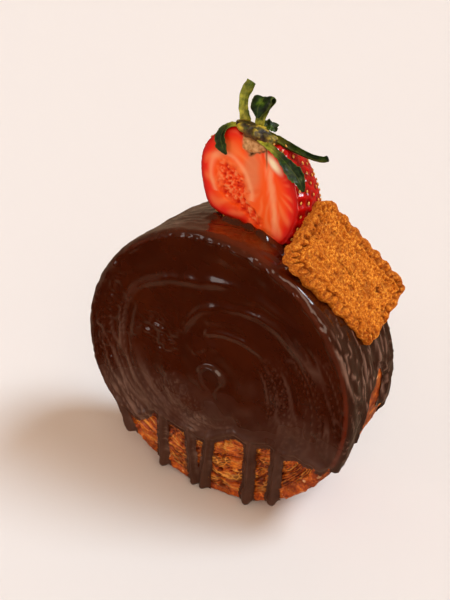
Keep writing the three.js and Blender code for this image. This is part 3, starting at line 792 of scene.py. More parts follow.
def glaze_marks(disc, on_front, on_back, on_rim, bead, edge_line):
    """Where the glaze is thin and reddish, and where it has set dull and carries a painted sheen."""
    x, z = disc.x, disc.z
    around = np.mod(np.degrees(disc.angle) + 90, 360) - 90
    glowing = bump(around + 4, 22) + 0.35 * bump(around - 50, 26) + 0.35 * bump(around - 124, 9)
    thin_line = 0.9 * edge_line * glowing
    over_top = 0.12 * smoothstep(42, 65, around) * smoothstep(100, 85, around) * smoothstep(-8, -18, disc.y)
    thin = np.clip(thin_line + over_top * on_rim, 0, 1)
    sheen = 0.35 * fractal(x / 9, z / 9, 0, 85, 2)
    # painted sheen: lighter towards the bottom of the front and back, standing in for the floor's reflection
    dull_and_painted_sheen = (smoothstep(0, -26, z) + sheen * smoothstep(10, -8, z)) * on_front
    dull_and_painted_sheen = dull_and_painted_sheen + bead + on_back * (0.15 + 0.5 * smoothstep(4, -24, z))
    dull_and_painted_sheen = dull_and_painted_sheen + on_rim * 0.08 * smoothstep(10, -14, z)
    return thin, np.clip(dull_and_painted_sheen, 0, 1)


def glaze_cover(disc, on_front, on_back, on_rim):
    """How deep inside the glaze's edge each point lies, and how thick the runs are there."""
    front_cover, front_bead = face_cover(disc, 1, FRONT_EDGE, FRONT_DRIPS, 41)
    back_cover, back_bead = face_cover(disc, -1, BACK_EDGE, BACK_DRIPS, 44)
    side_cover, side_bead = rim_cover(disc)
    cover = front_cover * on_front + back_cover * on_back + side_cover * on_rim
    cover = np.maximum(cover, np.maximum(front_cover, back_cover))
    return cover, np.maximum(np.maximum(front_bead, back_bead), 0.55 * side_bead * on_rim)


def glaze_relief(disc, on_front, on_back, on_rim):
    """The skin's relief, where it is pale with painted highlight and where it is dark with painted shade,
    and the line along its front edge.
    """
    x, z = disc.x, disc.z
    front, front_streaks = front_relief(x, z)
    swirl = turned(y=BACK_SWIRL_TURN)
    back, back_streaks = front_relief(swirl[0, 0] * x + swirl[0, 2] * z, swirl[2, 0] * x + swirl[2, 2] * z)
    rim, rim_streaks = rim_relief(disc)
    edge_bead, edge_line = rim_bead(disc)
    relief = front * on_front + rim * on_rim + edge_bead + ridge_at_berry(disc)
    relief = relief + (0.75 * back + 0.3 * fractal(x / 8, z / 8, 0, 81, 3)) * on_back
    # painted highlight: where the streaks and ridges are made pale
    pale = (1.6 * front_streaks - 0.25) * on_front + back_streaks * on_back
    pale = pale + (2.0 * rim_streaks - 0.4) * on_rim
    # painted shade on the lower right of the rim, except where the streaks are
    painted_rim_shade = 0.75 * on_rim * (x > 0) * smoothstep(48, 25, z) * (1 - np.clip(rim_streaks, 0, 1))
    return relief, pale, painted_rim_shade, edge_line


def glaze():
    disc = Disc(segments=520, front_step=0.55, rim_step=0.9, back_step=1.5)
    on_front = smoothstep(0.5, 0.95, -disc.out_y)
    on_back = smoothstep(0.5, 0.95, disc.out_y)
    regions = (on_front, on_back, 1 - on_front - on_back)
    cover, bead = glaze_cover(disc, *regions)
    relief, pale, painted_rim_shade, edge_line = glaze_relief(disc, *regions)
    thin, dull_and_painted_sheen = glaze_marks(disc, *regions, bead, edge_line)
    share = np.clip(cover / MENISCUS, 0, 1)
    body = np.sqrt(1 - (1 - share) ** 2)
    lip = LIP_HEIGHT * bump(cover - 1.6, 1.3)
    thickness = body * (GLAZE_THICKNESS + RUN_THICKNESS * bead) + lip * (cover > 0)
    glazed = thickness + relief * smoothstep(0.4, 3.0, cover) * (1 - 0.8 * bead)
    tucked_in = np.maximum(cover * 2.2, -TUCK) - 0.25
    height = np.where(cover > 0, np.maximum(glazed, 0.25 * share), tucked_in)
    height = np.maximum(np.clip(height, -GLAZE_LIMIT, GLAZE_LIMIT), pad_under_biscuit(disc))
    points = disc.points(height)
    points[:, 2] = np.maximum(points[:, 2], LOWEST_GLAZE)
    marks = {"thin": thin, "dull_and_painted_sheen": dull_and_painted_sheen, "painted_rim_shade": painted_rim_shade, "painted_highlight": np.clip(pale * (1 - bead), 0, 1)}
    marks = {key: values.ravel() for key, values in marks.items()}
    faces = disc.faces((cover > -KEPT_BEYOND).ravel())
    points, faces, marks = used_only(points, faces, marks)
    piece = mesh_piece("glaze_skin", points, faces, [glaze_material()], marks)
    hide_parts("chocolate_glaze")


# ---------------------------------------------------------------- smooth curves

def spline(points, count, closed=False):
    """Evenly spaced points on a smooth curve through the given ones."""
    points = np.asarray(points, float)
    total = len(points)
    dense = []
    for i in range(total if closed else total - 1):
        if closed:
            p = [points[(i + k) % total] for k in (-1, 0, 1, 2)]
        else:
            p = [points[min(max(i + k, 0), total - 1)] for k in (-1, 0, 1, 2)]
        t = np.linspace(0, 1, 24, endpoint=False)[:, None]
        dense.append(0.5 * (2 * p[1] + (p[2] - p[0]) * t + (2 * p[0] - 5 * p[1] + 4 * p[2] - p[3]) * t ** 2
                            + (3 * p[1] - p[0] - 3 * p[2] + p[3]) * t ** 3))
    dense.append(points[:1] if closed else points[-1:])
    dense = np.concatenate(dense)
    length = np.concatenate([[0], np.cumsum(np.linalg.norm(np.diff(dense, axis=0), axis=1))])
    wanted = np.linspace(0, length[-1], count, endpoint=not closed)
    return np.stack([np.interp(wanted, length, dense[:, k]) for k in range(dense.shape[1])], axis=-1)


# ---------------------------------------------------------------- the half strawberry
# Its own frame: X to the right across the cut face, Y into the berry, Z towards the calyx.

BERRY_MIDDLE = np.array([-1.0, 14.0])
BERRY_OUTLINE = (
    (5, -4.6), (-3, -1.4), (-13, 0.2), (-19, 3.6), (-23.6, 13.5), (-24.3, 21), (-21.5, 27), (-16.5, 31),
    (-11.5, 33.4), (-8.5, 32), (-5.5, 31), (4, 29.8), (8.5, 28.4), (14, 22.5), (18.4, 16), (20.6, 8),
    (19.6, 1), (16.4, -4.4), (11.6, -6.8),
)
BERRY_DEPTH = 24
BERRY_WIDEST = math.radians(20)
BERRY_LEAN = 0.20
SEED_SPACING = 4.3
SEED_PIT = 1.25
SEED_SUNK = 0.30
SEED_HALF_LENGTH = 0.68
SEED_HALF_WIDTH = 0.40
SEED_HALF_HEIGHT = 0.30


def berry_skin_point(outline, turn):
    """A ring of the skin: the outline shrunk and moved back, as far round as the turn says."""
    roundness = BERRY_DEPTH / (1 + math.sin(BERRY_WIDEST))
    depth = roundness * (math.sin(turn) + math.sin(BERRY_WIDEST))
    scale = math.cos(turn) / math.cos(BERRY_WIDEST)
    flat = BERRY_MIDDLE + (outline - BERRY_MIDDLE) * scale
    return np.stack([flat[:, 0] + BERRY_LEAN * depth, np.full(len(flat), depth), flat[:, 1]], axis=-1)


def outward(rings, row=None):
    """Unit normals of a grid of closed rings; if a row is given, its normals point out of the grid."""
    along = np.roll(rings, -1, axis=1) - np.roll(rings, 1, axis=1)
    across = np.gradient(rings, axis=0)
    normal = np.cross(across, along)
    normal = normal / np.maximum(np.linalg.norm(normal, axis=-1, keepdims=True), 1e-9)
    if row is not None and (normal[row] * (rings[row] - rings.mean(axis=(0, 1)))).sum() < 0:
        normal = -normal
    return normal


def seed_places():
    """Where the seeds sit: staggered rows round the skin, as (point, normal) in the berry's frame."""
    places = []
    outline = spline(BERRY_OUTLINE, 360, closed=True)
    turns = np.arange(-14, 80, 10.5)
    for row, turn in enumerate(turns):
        rings = np.stack([berry_skin_point(outline, math.radians(turn + d)) for d in (-1, 0, 1)])
        normals = outward(rings)[1]
        length = np.linalg.norm(np.diff(rings[1], axis=0), axis=1).sum()
        count = max(3, round(length / SEED_SPACING))
        for k in range(count):
            i = int(((k + 0.5 * (row % 2) + 0.16 * math.sin(7 * k + 3 * row)) / count % 1) * 360) % 360
            places.append((rings[1][i], normals[i]))
    return places


def hollow_shape(x, z):
    """The hollow in the flesh and the smaller one under it: 1 in the middle and 0 at the rim."""
    upper = 1 - np.hypot((x + 9.0 + 0.45 * (z - 12)) / 6.4, (z - 12.4) / 7.4)
    lower = 1 - np.hypot((x + 2.0 + 0.8 * (z - 5)) / 5.6, (z - 5.0 + 0.45 * x) / 3.2)
    return np.maximum(upper, lower)


def receptacle_marks(x, z, core):
    """The pale wedge under the cap, and the painted shade in the groove that runs along its edge."""
    wedge = np.hypot((x + 1.2) / 6.4, (z - 31.0 - 0.22 * x) / 5.2) + 0.12 * noise(x / 1.5, z / 1.5, 0, 106)
    ledge_shade = bump(wedge - 1.02, 0.08) * smoothstep(-6, -3, x) * (0.6 + 0.6 * noise(x / 1.2, z, 0, 109))
    ledge_shade = np.clip(ledge_shade + 0.8 * bump(core + 1.0, 0.35) * smoothstep(20, 26, z), 0, 1)
    return smoothstep(1.1, 0.8, wedge), ledge_shade


def pith_marks(x, z, core, halo, hollow):
    """The pale column of pith beside the hollow, and the pale vein down the core."""
    column = np.hypot((x + 0.6 + 0.10 * (z - 18)) / 4.2, (z - 19) / 11.5)
    pith = smoothstep(1.35, 0.3, column + 0.15 * noise(x / 2, z / 4, 0, 111)) * (1 - 0.8 * hollow)
    line = np.abs(core - 2.2 * smoothstep(24, 4, z)) + 0.5 * noise(x, z / 3, 0, 110)
    vein = 0.55 * smoothstep(2.6, 0.0, line) * smoothstep(-5, 2, z) * smoothstep(25, 20, z)
    vein = vein + 0.45 * halo * (z > 8)
    return pith, np.clip(vein, 0, 1) * (1 - 0.7 * hollow)


def ray_marks(z, core, inset):
    """Fine rays from the core to the skin."""
    angle = np.arctan2(z - 17, core)
    reach = np.hypot(z - 17, core)
    rays = 0.5 + 0.5 * np.cos(angle * 19 + 2.0 * noise(reach / 6, angle * 2.5, 0, 105))
    return rays ** 2 * smoothstep(5, 10, reach) * smoothstep(0.6, 3.0, inset)


def cut_face_marks(x, z, inset):
    """Relief and colour masks of the cut flesh. The inset is the distance to the skin."""
    core = x - (5.5 + (26 - z) * 0.20 + 0.5 * noise(z / 5, 1, 0, 101))
    shape = hollow_shape(x, z)
    hollow = smoothstep(-0.25, 0.35, shape + 0.25 * noise(x / 2.2, z / 2.2, 0, 102))
    crumbs = noise(x / 1.3, z / 1.0, 0, 103) + 0.5 * noise(x / 0.6, z / 0.6, 0, 104)
    rays = ray_marks(z, core, inset)
    receptacle, ledge_shade = receptacle_marks(x, z, core)
    pith, vein = pith_marks(x, z, core, bump(shape + 0.42, 0.16), hollow)
    white = smoothstep(1.15, 0.2, np.hypot((x - 8.0) / 4.8, (z - 23.6 + 0.62 * (x - 8.0)) / 2.4))
    relief = -0.8 * hollow + 0.5 * hollow * crumbs + 0.05 * rays + 0.14 * noise(x / 3.5, z / 3.5, 0, 107)
    relief = relief - 0.22 * bump(core, 0.6) * smoothstep(8, 18, z) * (z < 27)
    relief = relief - 0.5 * ledge_shade + 0.3 * receptacle + 0.5 * white
    masks = {"hollow": hollow, "crumb_and_pit_shade": np.clip(0.5 - 0.45 * crumbs, 0, 1), "rays": rays,
             "receptacle": np.clip(receptacle + ledge_shade, 0, 1), "ledge_shade": ledge_shade, "pith": pith,
             "vein": vein, "white": white}
    return relief, masks


def berry_cut_face(outline, rings):
    """The cut face as rings from its middle to the skin, its masks, and the distance to the skin."""
    shares = np.linspace(0.012, 1, rings)
    flat = BERRY_MIDDLE + (outline - BERRY_MIDDLE)[None] * shares[:, None, None]
    x, z = flat[..., 0], flat[..., 1]
    inset = (1 - shares)[:, None] * np.linalg.norm(outline - BERRY_MIDDLE, axis=1)[None]
    relief, masks = cut_face_marks(x, z, inset)
    relief = relief * smoothstep(0, 1.2, inset) - 0.6 * (1 - smoothstep(0, 1.2, inset)) ** 2
    return np.stack([x, -relief, z], axis=-1), masks, inset


def berry_skin(outline, rings):
    """The skin as rings from the cut face round the back, and how far each point is from a seed."""
    turns = np.linspace(-BERRY_WIDEST, math.radians(84), rings)
    skin = np.stack([berry_skin_point(outline, turn) for turn in turns])
    skin[0, :, 1] += 0.6
    normals = outward(skin, 10)
    flat_skin = skin.reshape(-1, 3)
    nearest = np.full(len(flat_skin), FAR)
    for place, _ in seed_places():
        nearest = np.minimum(nearest, np.linalg.norm(flat_skin - place, axis=1))
    nearest = nearest.reshape(skin.shape[:2])
    swell = 0.45 * smoothstep(SEED_PIT, 2.6, nearest) - 0.75 * bump(nearest, SEED_PIT * 0.75)
    swell = swell + 0.35 * noise(skin[..., 0] / 6, skin[..., 1] / 6, skin[..., 2] / 6, 108)
    away = smoothstep(0, 4, np.arange(rings))[:, None]
    return skin + normals * (swell * away)[..., None], nearest


def strawberry():
    segments, face_rings, skin_rings = 300, 74, 52
    outline = spline(BERRY_OUTLINE, segments, closed=True)[::-1]
    face, masks, inset = berry_cut_face(outline, face_rings)
    skin, nearest = berry_skin(outline, skin_rings)
    points = np.concatenate([face.reshape(-1, 3), skin[1:].reshape(-1, 3)])
    blank = np.zeros((skin_rings - 1) * segments)
    attributes = {key: np.concatenate([mask.ravel(), blank]) for key, mask in masks.items()}
    skin_edge = (1 - smoothstep(0, 1.0, inset)) * (1 - masks["receptacle"])
    attributes["skin"] = np.concatenate([skin_edge.ravel(), blank + 1])
    attributes["depth"] = np.concatenate([np.clip(inset / 9, 0, 1).ravel(), blank])
    # painted shade in the seed pits
    attributes["pit"] = np.concatenate([np.zeros(inset.size), bump(nearest[1:], SEED_PIT).ravel()])
    faces = closed_faces(face_rings + skin_rings - 1, segments)
    on_skin = [0] * ((face_rings - 1) * segments) + [1] * ((skin_rings - 1) * segments) + [0, 1]
    points = placed(points, BERRY_TURN, BERRY_PLACE)
    piece = mesh_piece("cut_strawberry", points, faces, [flesh_material(), skin_material()], attributes,
                       face_materials=on_skin)
    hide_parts("strawberry_half")


def seed_points(place, normal, size, rings, sides):
    """A small ellipsoid sunk in its pit, as rings from its lower end up."""
    up = np.array([0.1, 0, 1.0]) - normal * normal[2]
    up = up / np.linalg.norm(up)
    side = np.cross(normal, up)
    points = []
    for ring in range(rings):
        turn = math.pi * (ring + 0.5) / rings
        middle = place - normal * SEED_SUNK - up * math.cos(turn) * SEED_HALF_LENGTH * size
        for step in range(sides):
            a = 2 * math.pi * step / sides
            sideways = side * math.cos(a) * SEED_HALF_WIDTH + normal * math.sin(a) * SEED_HALF_HEIGHT
            points.append(middle + sideways * math.sin(turn) * size)
    return points


def seeds():
    """The small yellow seeds in the pits of the skin."""
    points, faces = [], []
    rings, sides = 5, 8
    for k, (place, normal) in enumerate(seed_places()):
        if place[1] < 0.8:
            continue
        start = len(points)
        points += seed_points(place, normal, 1 + 0.15 * math.sin(5 * k), rings, sides)
        faces += [[start + i for i in face] for face in closed_faces(rings, sides)]
    points = placed(np.array(points), BERRY_TURN, BERRY_PLACE)
    piece = mesh_piece("strawberry_seeds", points, faces, [seed_material()])


# ---------------------------------------------------------------- calyx and sepals

def calyx():
    """The leathery cap that the sepals grow from: a low dome with knots and folds."""
    segments, rings = 120, 40
    angle = np.linspace(0, 2 * math.pi, segments, endpoint=False)
    turn = np.linspace(math.radians(3), math.radians(150), rings)
    a, t = np.meshgrid(angle, turn)
    reach_x, reach_y, tall = 9.0, 5.2, 2.3
    x = np.cos(a) * np.sin(t) * reach_x
    y = np.sin(a) * np.sin(t) * reach_y
    z = np.cos(t) * tall
    folds = 0.6 * np.cos(a * 9 + 1.5 * noise(np.cos(a) * 2, np.sin(a) * 2, 0, 121)) * np.sin(t) ** 2
    knots = fractal(x / 1.9, y / 1.9, z / 1.9, 122, 3)
    swell = 1 + (0.6 * folds + 0.7 * knots) / 6
    points = np.stack([x * swell - 3.6, y * swell + 3.0, z * swell * 1.15 + 33.2 - 0.20 * (x + 1)], axis=-1)
    points = placed(points.reshape(-1, 3), BERRY_TURN, BERRY_PLACE)
    attributes = {"tone": np.clip(0.5 + 0.5 * knots, 0, 1).ravel(),
                  "low": smoothstep(0.5, -1.5, z / tall * 2).ravel()}
    piece = mesh_piece("knotted_calyx", points, inside_out(closed_faces(rings, segments)),
                       [calyx_material()], attributes)
    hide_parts("strawberry_calyx")


# Each sepal: its midline from the cap to the tip, half widths at even steps, where its face looks (or
# which way its width runs) at the start and at the tip, how far its edges curl up, how ragged they
# are, and how yellow its start is and how far that reaches.
SEPALS = {
    "sepal_upright_left": dict(
        midline=((-8.0, 4, 32.5), (-9.6, 4, 36), (-11.6, 4, 41), (-12.2, 5, 45.6), (-10.8, 6, 50.2)),
        half=(2.3, 2.3, 2.0, 2.0, 2.4, 2.2), look=((0.35, -1, 0), (0.1, -1, 0.1)),
        curl=0.6, ragged=0.06, pale=1.0, reach=1.6),
    "sepal_upright_right": dict(
        midline=((-3.0, 4, 32.5), (-3.4, 4, 36.5), (-3.0, 4.4, 41.0), (-2.6, 4.8, 45.2), (-3.0, 3.2, 45.8),
                 (-3.6, 1.9, 42), (-3.2, 1.6, 38.4)),
        half=(1.9, 1.9, 2.2, 2.6, 4.2, 4.4, 3.8, 0.8), side=((1, 0.1, 0), (1, 0.1, 0.30)),
        curl=0.35, ragged=0.05, pale=1.0, reach=0.62),
    "sepal_back": dict(
        midline=((-4.0, 7.0, 33.0), (-2.6, 8, 35.2), (-1.0, 9, 35.6), (0.4, 10, 33.6)),
        half=(1.8, 2.6, 2.8, 2.4, 1.8, 0.6), look=((0, -0.8, 1), (0.3, -0.7, 0.6)),
        curl=0.3, ragged=0.30, pale=0.3, reach=0.5),
    "sepal_side_right": dict(
        midline=((0.5, 4, 32.4), (6, 5, 31.0), (12, 6, 29.4), (18, 7.5, 28.2), (22.8, 8.6, 28.0),
                 (25.0, 9, 28.8)),
        half=(2.2, 2.6, 2.4, 2.0, 1.8, 2.0), look=((0.1, -0.7, 1), (0.3, -0.8, 0.7)),
        curl=1.5, ragged=0.05, pale=0.45, reach=0.5),
    "sepal_front_right": dict(
        midline=((0.0, 0.2, 31.6), (6.0, -0.8, 29.4), (12.0, -1.3, 26.6), (16.8, -1.0, 23.4),
                 (20.0, -0.2, 20.2), (21.6, 0.8, 16.6)),
        half=(1.5, 1.5, 1.6, 2.3, 2.9, 0.5), look=((0.2, -1, 0.5), (0.7, -1, 0.10)),
        curl=0.40, ragged=0.20, pale=1.0, reach=0.50),
    "sepal_left": dict(
        midline=((-8.0, 1.6, 33.8), (-11.5, 0.8, 34.2), (-15.2, 0.0, 32.4), (-16.4, -1.0, 29.0),
                 (-15.0, -1.6, 25.8), (-12.2, -1.8, 22.8)),
        half=(1.3, 1.3, 1.3, 2.3, 2.4, 0.4), look=((0.1, -0.6, 1), (-0.2, -1, 0.05)),
        curl=0.45, ragged=0.14, pale=1.0, reach=0.55),
}
SEPAL_THICKNESS = 0.45


def sepal_frame(steps, midline, look, side):
    """The sepal's midline, and the directions across it and out of its face at every step."""
    middle = spline(midline, steps)
    tangent = np.gradient(middle, axis=0)
    tangent /= np.linalg.norm(tangent, axis=1, keepdims=True)
    along = np.linspace(0, 1, steps)
    ends = look or side
    across = np.outer(1 - along, ends[0]) + np.outer(along, ends[1])
    if look:
        across = np.cross(tangent, across)
    across -= tangent * (across * tangent).sum(axis=1, keepdims=True)
    across /= np.linalg.norm(across, axis=1, keepdims=True)
    return middle, across, np.cross(across, tangent)


def sepal(index, node, midline, half, curl, ragged, pale, reach, look=None, side=None):
    steps, columns = 90, 22
    middle, across, face = sepal_frame(steps, midline, look, side)
    along = np.linspace(0, 1, steps)
    width = np.interp(along, np.linspace(0, 1, len(half)), half)
    s, a = np.meshgrid(np.linspace(-1, 1, columns), along)
    teeth = 1 + ragged * noise(a * 14, np.sign(s) * 3, index, 131)
    teeth = teeth + 0.4 * ragged * noise(a * 37, np.sign(s) * 3, index, 132)
    w = width[:, None] * np.where(np.abs(s) > 0.3, teeth, 1)
    edge_turn = curl * 1.2
    bend = s * edge_turn
    flat = np.sin(bend) / edge_turn * w
    lift = (1 - np.cos(bend)) / edge_turn * w
    crease = 0.35 * bump(s, 0.16)
    crease = crease - 0.18 * np.cos(a * 60 + np.abs(s) * 9) * smoothstep(0.1, 0.5, np.abs(s)) * 0.5
    buckle = 0.4 * noise(a * 7, s * 1.3, index, 133) + 0.16 * noise(a * 22, s * 3.2, index, 134)
    rise = lift + buckle * np.abs(w) * 0.28 - crease * 0.35
    top = middle[:, None] + across[:, None] * flat[..., None] + face[:, None] * rise[..., None]
    bottom = top - face[:, None] * SEPAL_THICKNESS * (1 - 0.6 * np.abs(s[..., None]) ** 4)
    rings = np.concatenate([top, bottom[:, ::-1]], axis=1)
    spread = np.concatenate([s, s[:, ::-1]], axis=1)
    far = np.concatenate([a, a], axis=1)
    attributes = {"across": np.abs(spread).ravel(), "pale": (pale * smoothstep(reach, 0.05, far)).ravel()}
    points = placed(rings.reshape(-1, 3), BERRY_TURN, BERRY_PLACE)
    faces = closed_faces(steps, 2 * columns)
    piece = mesh_piece(node + "_leaf", points, faces, [leaf_material()], attributes)
    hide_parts(node)


# ---------------------------------------------------------------- the biscuit
# Its own frame: X along it, Y across it, Z out of the pressed face.

BISCUIT_CORNER = 5.0
SCALLOP = 7.0
FRAME_INSET = 4.6


def biscuit_outline(count):
    """The rounded rectangle, evenly spaced, with its outward normals and the distance along it."""
    half_x, half_y, round_off = BISCUIT_LENGTH / 2, BISCUIT_WIDTH / 2, BISCUIT_CORNER
    corners = ((1, -1, -90), (1, 1, 0), (-1, 1, 90), (-1, -1, 180))
    points = []
    for sx, sy, start in corners:
        for step in range(13):
            turn = math.radians(start + 90 * step / 12)
            points.append((sx * (half_x - round_off) + round_off * math.cos(turn),
                           sy * (half_y - round_off) + round_off * math.sin(turn)))
    points = np.array(points + points[:1])
    length = np.concatenate([[0], np.cumsum(np.linalg.norm(np.diff(points, axis=0), axis=1))])
    wanted = np.linspace(0, length[-1], count, endpoint=False)
    ring = np.stack([np.interp(wanted, length, points[:, k]) for k in (0, 1)], axis=-1)
    along = np.roll(ring, -1, axis=0) - np.roll(ring, 1, axis=0)
    normal = np.stack([along[:, 1], -along[:, 0]], axis=-1)
    normal /= np.linalg.norm(normal, axis=1, keepdims=True)
    return ring, normal, wanted, length[-1]


def biscuit_face(x, y, inset, along, perimeter):
    """Relief of the pressed face, and how deep the grooves are, for the painted shade in them."""
    scallops = round(perimeter / SCALLOP)
    flute = np.cos(2 * math.pi * along / perimeter * scallops * 2)
    border = smoothstep(FRAME_INSET - 0.2, FRAME_INSET - 1.4, inset) * smoothstep(0.2, 1.4, inset)
    frame_line = bump(inset - FRAME_INSET - 0.7, 0.7)
    moat = bump(inset - FRAME_INSET + 0.7, 0.5) + 0.5 * bump(inset - FRAME_INSET - 2.2, 0.6)
    worn = 0.85 + 0.6 * noise(along / 6, inset / 4, 0, 145)
    fluting = border * (0.50 * flute - 0.45 * smoothstep(-0.3, -0.9, flute))
    relief = (0.55 * frame_line - 0.65 * moat + fluting) * worn
    middle = smoothstep(FRAME_INSET + 2.5, FRAME_INSET + 4, inset)
    relief = relief - 0.35 * middle * smoothstep(0.25, 0.6, np.abs(noise(x / 3.2, y / 2.6, 0, 146)))
    for px in np.linspace(-15, 15, 4):
        for py in (-4.6, 4.6):
            hole = np.hypot(x - px - 1.1 * math.sin(px * 3 + py), y - py - 0.8 * math.cos(px * 2 + py))
            relief = relief - 1.0 * bump(hole, 0.85) + 0.25 * bump(hole - 1.8, 0.7)
    groove_shade = smoothstep(-0.05, -0.6, relief)
    return relief, groove_shade


def biscuit_plate(edge, spine, rings):
    """One flat side as rings from the spine to the edge: x, y, the distance to the edge and the level."""
    shares = np.linspace(0.02, 1, rings)
    flat = spine[None] + (edge - spine)[None] * shares[:, None, None]
    inset = (1 - shares)[:, None] * np.linalg.norm(edge - spine, axis=1)[None] + 0.75
    level = BISCUIT_THICKNESS / 2 - 0.5 - 0.5 * smoothstep(1.6, 0.6, inset)
    return flat[..., 0], flat[..., 1], inset, level


def biscuit_side(edge, normal, rings):
    """The bellied side between the two flat ones, as rings."""
    turn = np.linspace(0, math.pi, rings + 2)[1:-1]
    belly = np.sin(turn) ** 0.6
    flat = edge[None] + normal[None] * (0.75 * belly)[:, None, None]
    level = np.cos(turn)[:, None] * np.ones(len(edge))[None] * (BISCUIT_THICKNESS / 2 - 1.0)
    return np.concatenate([flat, level[..., None]], axis=-1)


def biscuit_grid(count, face_rings, side_rings):
    """The whole surface as rings, from the pressed face round the side to the back, with its masks."""
    ring, normal, along, perimeter = biscuit_outline(count)
    scallops = round(perimeter / SCALLOP)
    hollow = 0.5 + 0.5 * np.cos(2 * math.pi * along / perimeter * scallops + 0.8 * np.sin(along / 9))
    edge = ring - normal * (0.85 * hollow + 1.2)[:, None]
    spine_end = (BISCUIT_LENGTH - BISCUIT_WIDTH) / 2
    spine = np.stack([np.clip(ring[:, 0], -spine_end, spine_end), np.zeros(count)], axis=-1)
    x, y, inset, level = biscuit_plate(edge, spine, face_rings)
    relief, groove_shade = biscuit_face(x, y, inset, along[None], perimeter)
    front = np.stack([x, y, level + relief], axis=-1)
    x, y, back_inset, level = biscuit_plate(edge, spine, face_rings // 2)
    back = np.stack([x, y, -level], axis=-1)[::-1]
    side = biscuit_side(edge, normal, side_rings)
    groove_shade = np.concatenate([groove_shade, np.zeros(side.shape[:2]), np.zeros(back.shape[:2])])
    rim = np.concatenate([smoothstep(3.5, 0.5, inset), np.ones(side.shape[:2]),
                          smoothstep(3.5, 0.5, back_inset)[::-1]])
    return np.concatenate([front, side, back]), groove_shade, rim


def biscuit():
    count, face_rings, side_rings = 520, 58, 12
    grid, groove_shade, rim = biscuit_grid(count, face_rings, side_rings)
    x, y, z = grid[..., 0], grid[..., 1], grid[..., 2]
    grain = 0.20 * noise(x / 1.3, y / 1.3, z / 1.3, 141) + 0.15 * noise(x / 0.65, y / 0.65, z / 0.65, 142)
    lumps = 0.26 * noise(x / 4.5, y / 4.5, z / 4.5, 143)
    pores = -0.45 * smoothstep(0.55, 0.80, noise(x / 1.1, y / 1.1, z / 1.1, 144))
    out = np.clip(grain + lumps + pores, -1.2, 0.5)
    grid = grid + outward(grid, face_rings // 2) * out[..., None]
    # painted shade: lower grain and pores get a darker colour
    crumb_and_pit_shade = np.clip(0.5 + 0.9 * (grain + pores), 0, 1)
    points = placed(grid.reshape(-1, 3), BISCUIT_TURN, BISCUIT_PLACE)
    piece = mesh_piece("pressed_biscuit", points, inside_out(closed_faces(len(grid), count)),
                       [biscuit_material()],
                       {"groove_shade": groove_shade.ravel(), "rim": rim.ravel(), "crumb_and_pit_shade": crumb_and_pit_shade.ravel()})
    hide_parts("caramelised_biscuit")


# ---------------------------------------------------------------- stage, light and camera
# Lights and paper are in metres; a light's direction is where it shines from.

def plain_material(name, colour, roughness):
    material = bpy.data.materials.new(name)
    material.use_nodes = True
    shader = material.node_tree.nodes["Principled BSDF"]
    shader.inputs["Base Color"].default_value = (*colour, 1)
    shader.inputs["Roughness"].default_value = roughness
    return material


PAPER_COLOUR = (0.775, 0.725, 0.695)


def floor():
    """A seamless bowl of pale paper: level round the object, curving up far away on every side."""
    level, bend, top, sides = 4.0, 1.5, 2.6, 96
    profile = [(radius, 0.0) for radius in (0.5, 1.5, 2.5, level)]
    for step in range(1, 13):
        turn = step / 12 * math.pi / 2
        profile.append((level + bend * math.sin(turn), bend - bend * math.cos(turn)))
    profile.append((level + bend, top))
    angles = [2 * math.pi * side / sides for side in range(sides)]
    vertices = [(radius * math.cos(a), radius * math.sin(a), z) for radius, z in profile for a in angles]
    faces = inside_out(closed_faces(len(profile), sides)[:-1])      # open at the top
    mesh = bpy.data.meshes.new("paper_bowl")
    mesh.from_pydata(vertices, [], faces)
    mesh.polygons.foreach_set("use_smooth", [True] * len(mesh.polygons))
    mesh.materials.append(plain_material("pale_paper", PAPER_COLOUR, 0.9))
    paper = bpy.data.objects.new("paper_bowl", mesh)
    bpy.context.scene.collection.objects.link(paper)
    paper.visible_glossy = False      # what the glaze reflects is set in studio()


def area_light(name, direction, distance, size, power, colour):
    data = bpy.data.lights.new(name, "AREA")
    data.shape = "DISK"
    data.size = size
    data.energy = power
    data.color = colour
    lamp = bpy.data.objects.new(name, data)
    bpy.context.scene.collection.objects.link(lamp)
    towards = Vector(direction).normalized()
    lamp.location = Vector((0, 0, AXIS_HEIGHT * MM)) + towards * distance
    lamp.rotation_euler = towards.to_track_quat("Z", "Y").to_euler()


def sun_light(name, direction, angle, strength, colour):
    data = bpy.data.lights.new(name, "SUN")
    data.energy = strength
    data.angle = math.radians(angle)
    data.color = colour
    lamp = bpy.data.objects.new(name, data)
    lamp.rotation_euler = Vector(direction).to_track_quat("Z", "Y").to_euler()
    bpy.context.scene.collection.objects.link(lamp)


def lights():
    sun_light("key_light", direction=(0.53, 0.28, 0.80), angle=22, strength=2.55, colour=(0.70, 0.87, 1.0))
    sun_light("sparkle", direction=(0.60, 0.05, 0.80), angle=8, strength=0.34, colour=(1.0, 1.0, 1.0))
    sun_light("front_fill", direction=(0.62, -0.80, 0.66), angle=44, strength=1.42, colour=(1.0, 0.80, 0.64))
    area_light("front_strip", direction=(-0.45, -0.90, 0.20), distance=1.5, size=0.5, power=1.8,
               colour=(1.0, 0.97, 0.95))
    studio()


DARK_DIRECTION = (-0.50, -0.78, -0.40)    # low in front on the left, where the table ends
DARK_EDGE, DARK_CORE = math.radians(36), math.radians(14)
FILL_STRENGTH = 0.42
REFLECTED_STRENGTH = 0.26


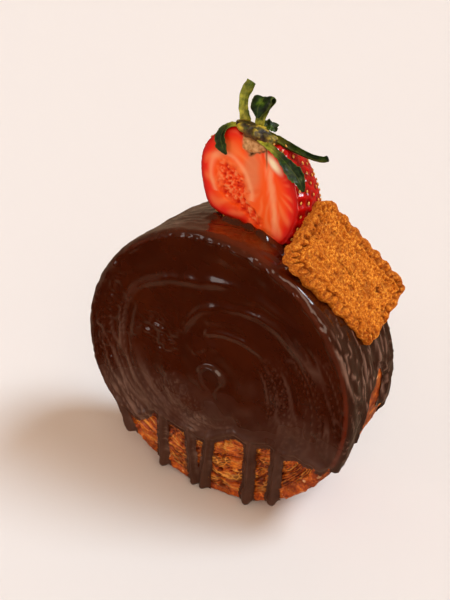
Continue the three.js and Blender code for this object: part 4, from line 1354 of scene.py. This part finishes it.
def studio():
    """Even warm fill light, with reflections that leave out the dark end of the table."""
    world = bpy.data.worlds.new("studio")
    world.use_nodes = True
    nodes, links = world.node_tree.nodes, world.node_tree.links
    direction = nodes.new("ShaderNodeTexCoord").outputs["Generated"]
    facing = nodes.new("ShaderNodeVectorMath")
    facing.operation = "DOT_PRODUCT"
    facing.inputs[1].default_value = Vector(DARK_DIRECTION).normalized()
    links.new(direction, facing.inputs[0])
    reflected = nodes.new("ShaderNodeMapRange")
    reflected.interpolation_type = "SMOOTHSTEP"
    for name, value in (("From Min", math.cos(DARK_EDGE)), ("From Max", math.cos(DARK_CORE)),
                        ("To Min", REFLECTED_STRENGTH), ("To Max", 0.0)):
        reflected.inputs[name].default_value = value
    links.new(facing.outputs["Value"], reflected.inputs["Value"])
    choice = nodes.new("ShaderNodeMix")
    links.new(nodes.new("ShaderNodeLightPath").outputs["Is Glossy Ray"], choice.inputs["Factor"])
    choice.inputs["A"].default_value = FILL_STRENGTH
    links.new(reflected.outputs["Result"], choice.inputs["B"])
    background = nodes["Background"]
    background.inputs["Color"].default_value = (1.0, 0.64, 0.40, 1)
    links.new(choice.outputs["Result"], background.inputs["Strength"])
    bpy.context.scene.world = world


CAMERA_AZIMUTH = math.radians(32.2)
CAMERA_ELEVATION = math.radians(29.9)
CAMERA_DISTANCE = 475.0
CAMERA_LENS = 70.3
TARGET_LEFT = 6.0      # from the roll's axis to the point in the middle of the view
TARGET_UP = 20.3


def camera():
    data = bpy.data.cameras.new("camera")
    data.lens = CAMERA_LENS
    data.sensor_fit = "AUTO"
    data.sensor_width = 36
    data.clip_start = 0.01
    cam = bpy.data.objects.new("camera", data)
    bpy.context.scene.collection.objects.link(cam)
    level = math.cos(CAMERA_ELEVATION)
    sine, cosine = math.sin(CAMERA_AZIMUTH), math.cos(CAMERA_AZIMUTH)
    back = Vector((sine * level, -cosine * level, math.sin(CAMERA_ELEVATION)))
    right = Vector((cosine, sine, 0))
    up = back.cross(right)
    target = Vector((0, 0, AXIS_HEIGHT)) - right * TARGET_LEFT + up * TARGET_UP
    cam.location = (target + back * CAMERA_DISTANCE) * MM
    cam.rotation_mode = "QUATERNION"
    cam.rotation_quaternion = (-back).to_track_quat("-Z", "Y")
    bpy.context.scene.camera = cam
    bpy.context.scene.view_settings.view_transform = "Standard"


camera()
lights()
floor()
croissant_roll()
glaze()
strawberry()
seeds()
calyx()
for number, (node, shape) in enumerate(SEPALS.items()):
    sepal(number, node, **shape)
biscuit()
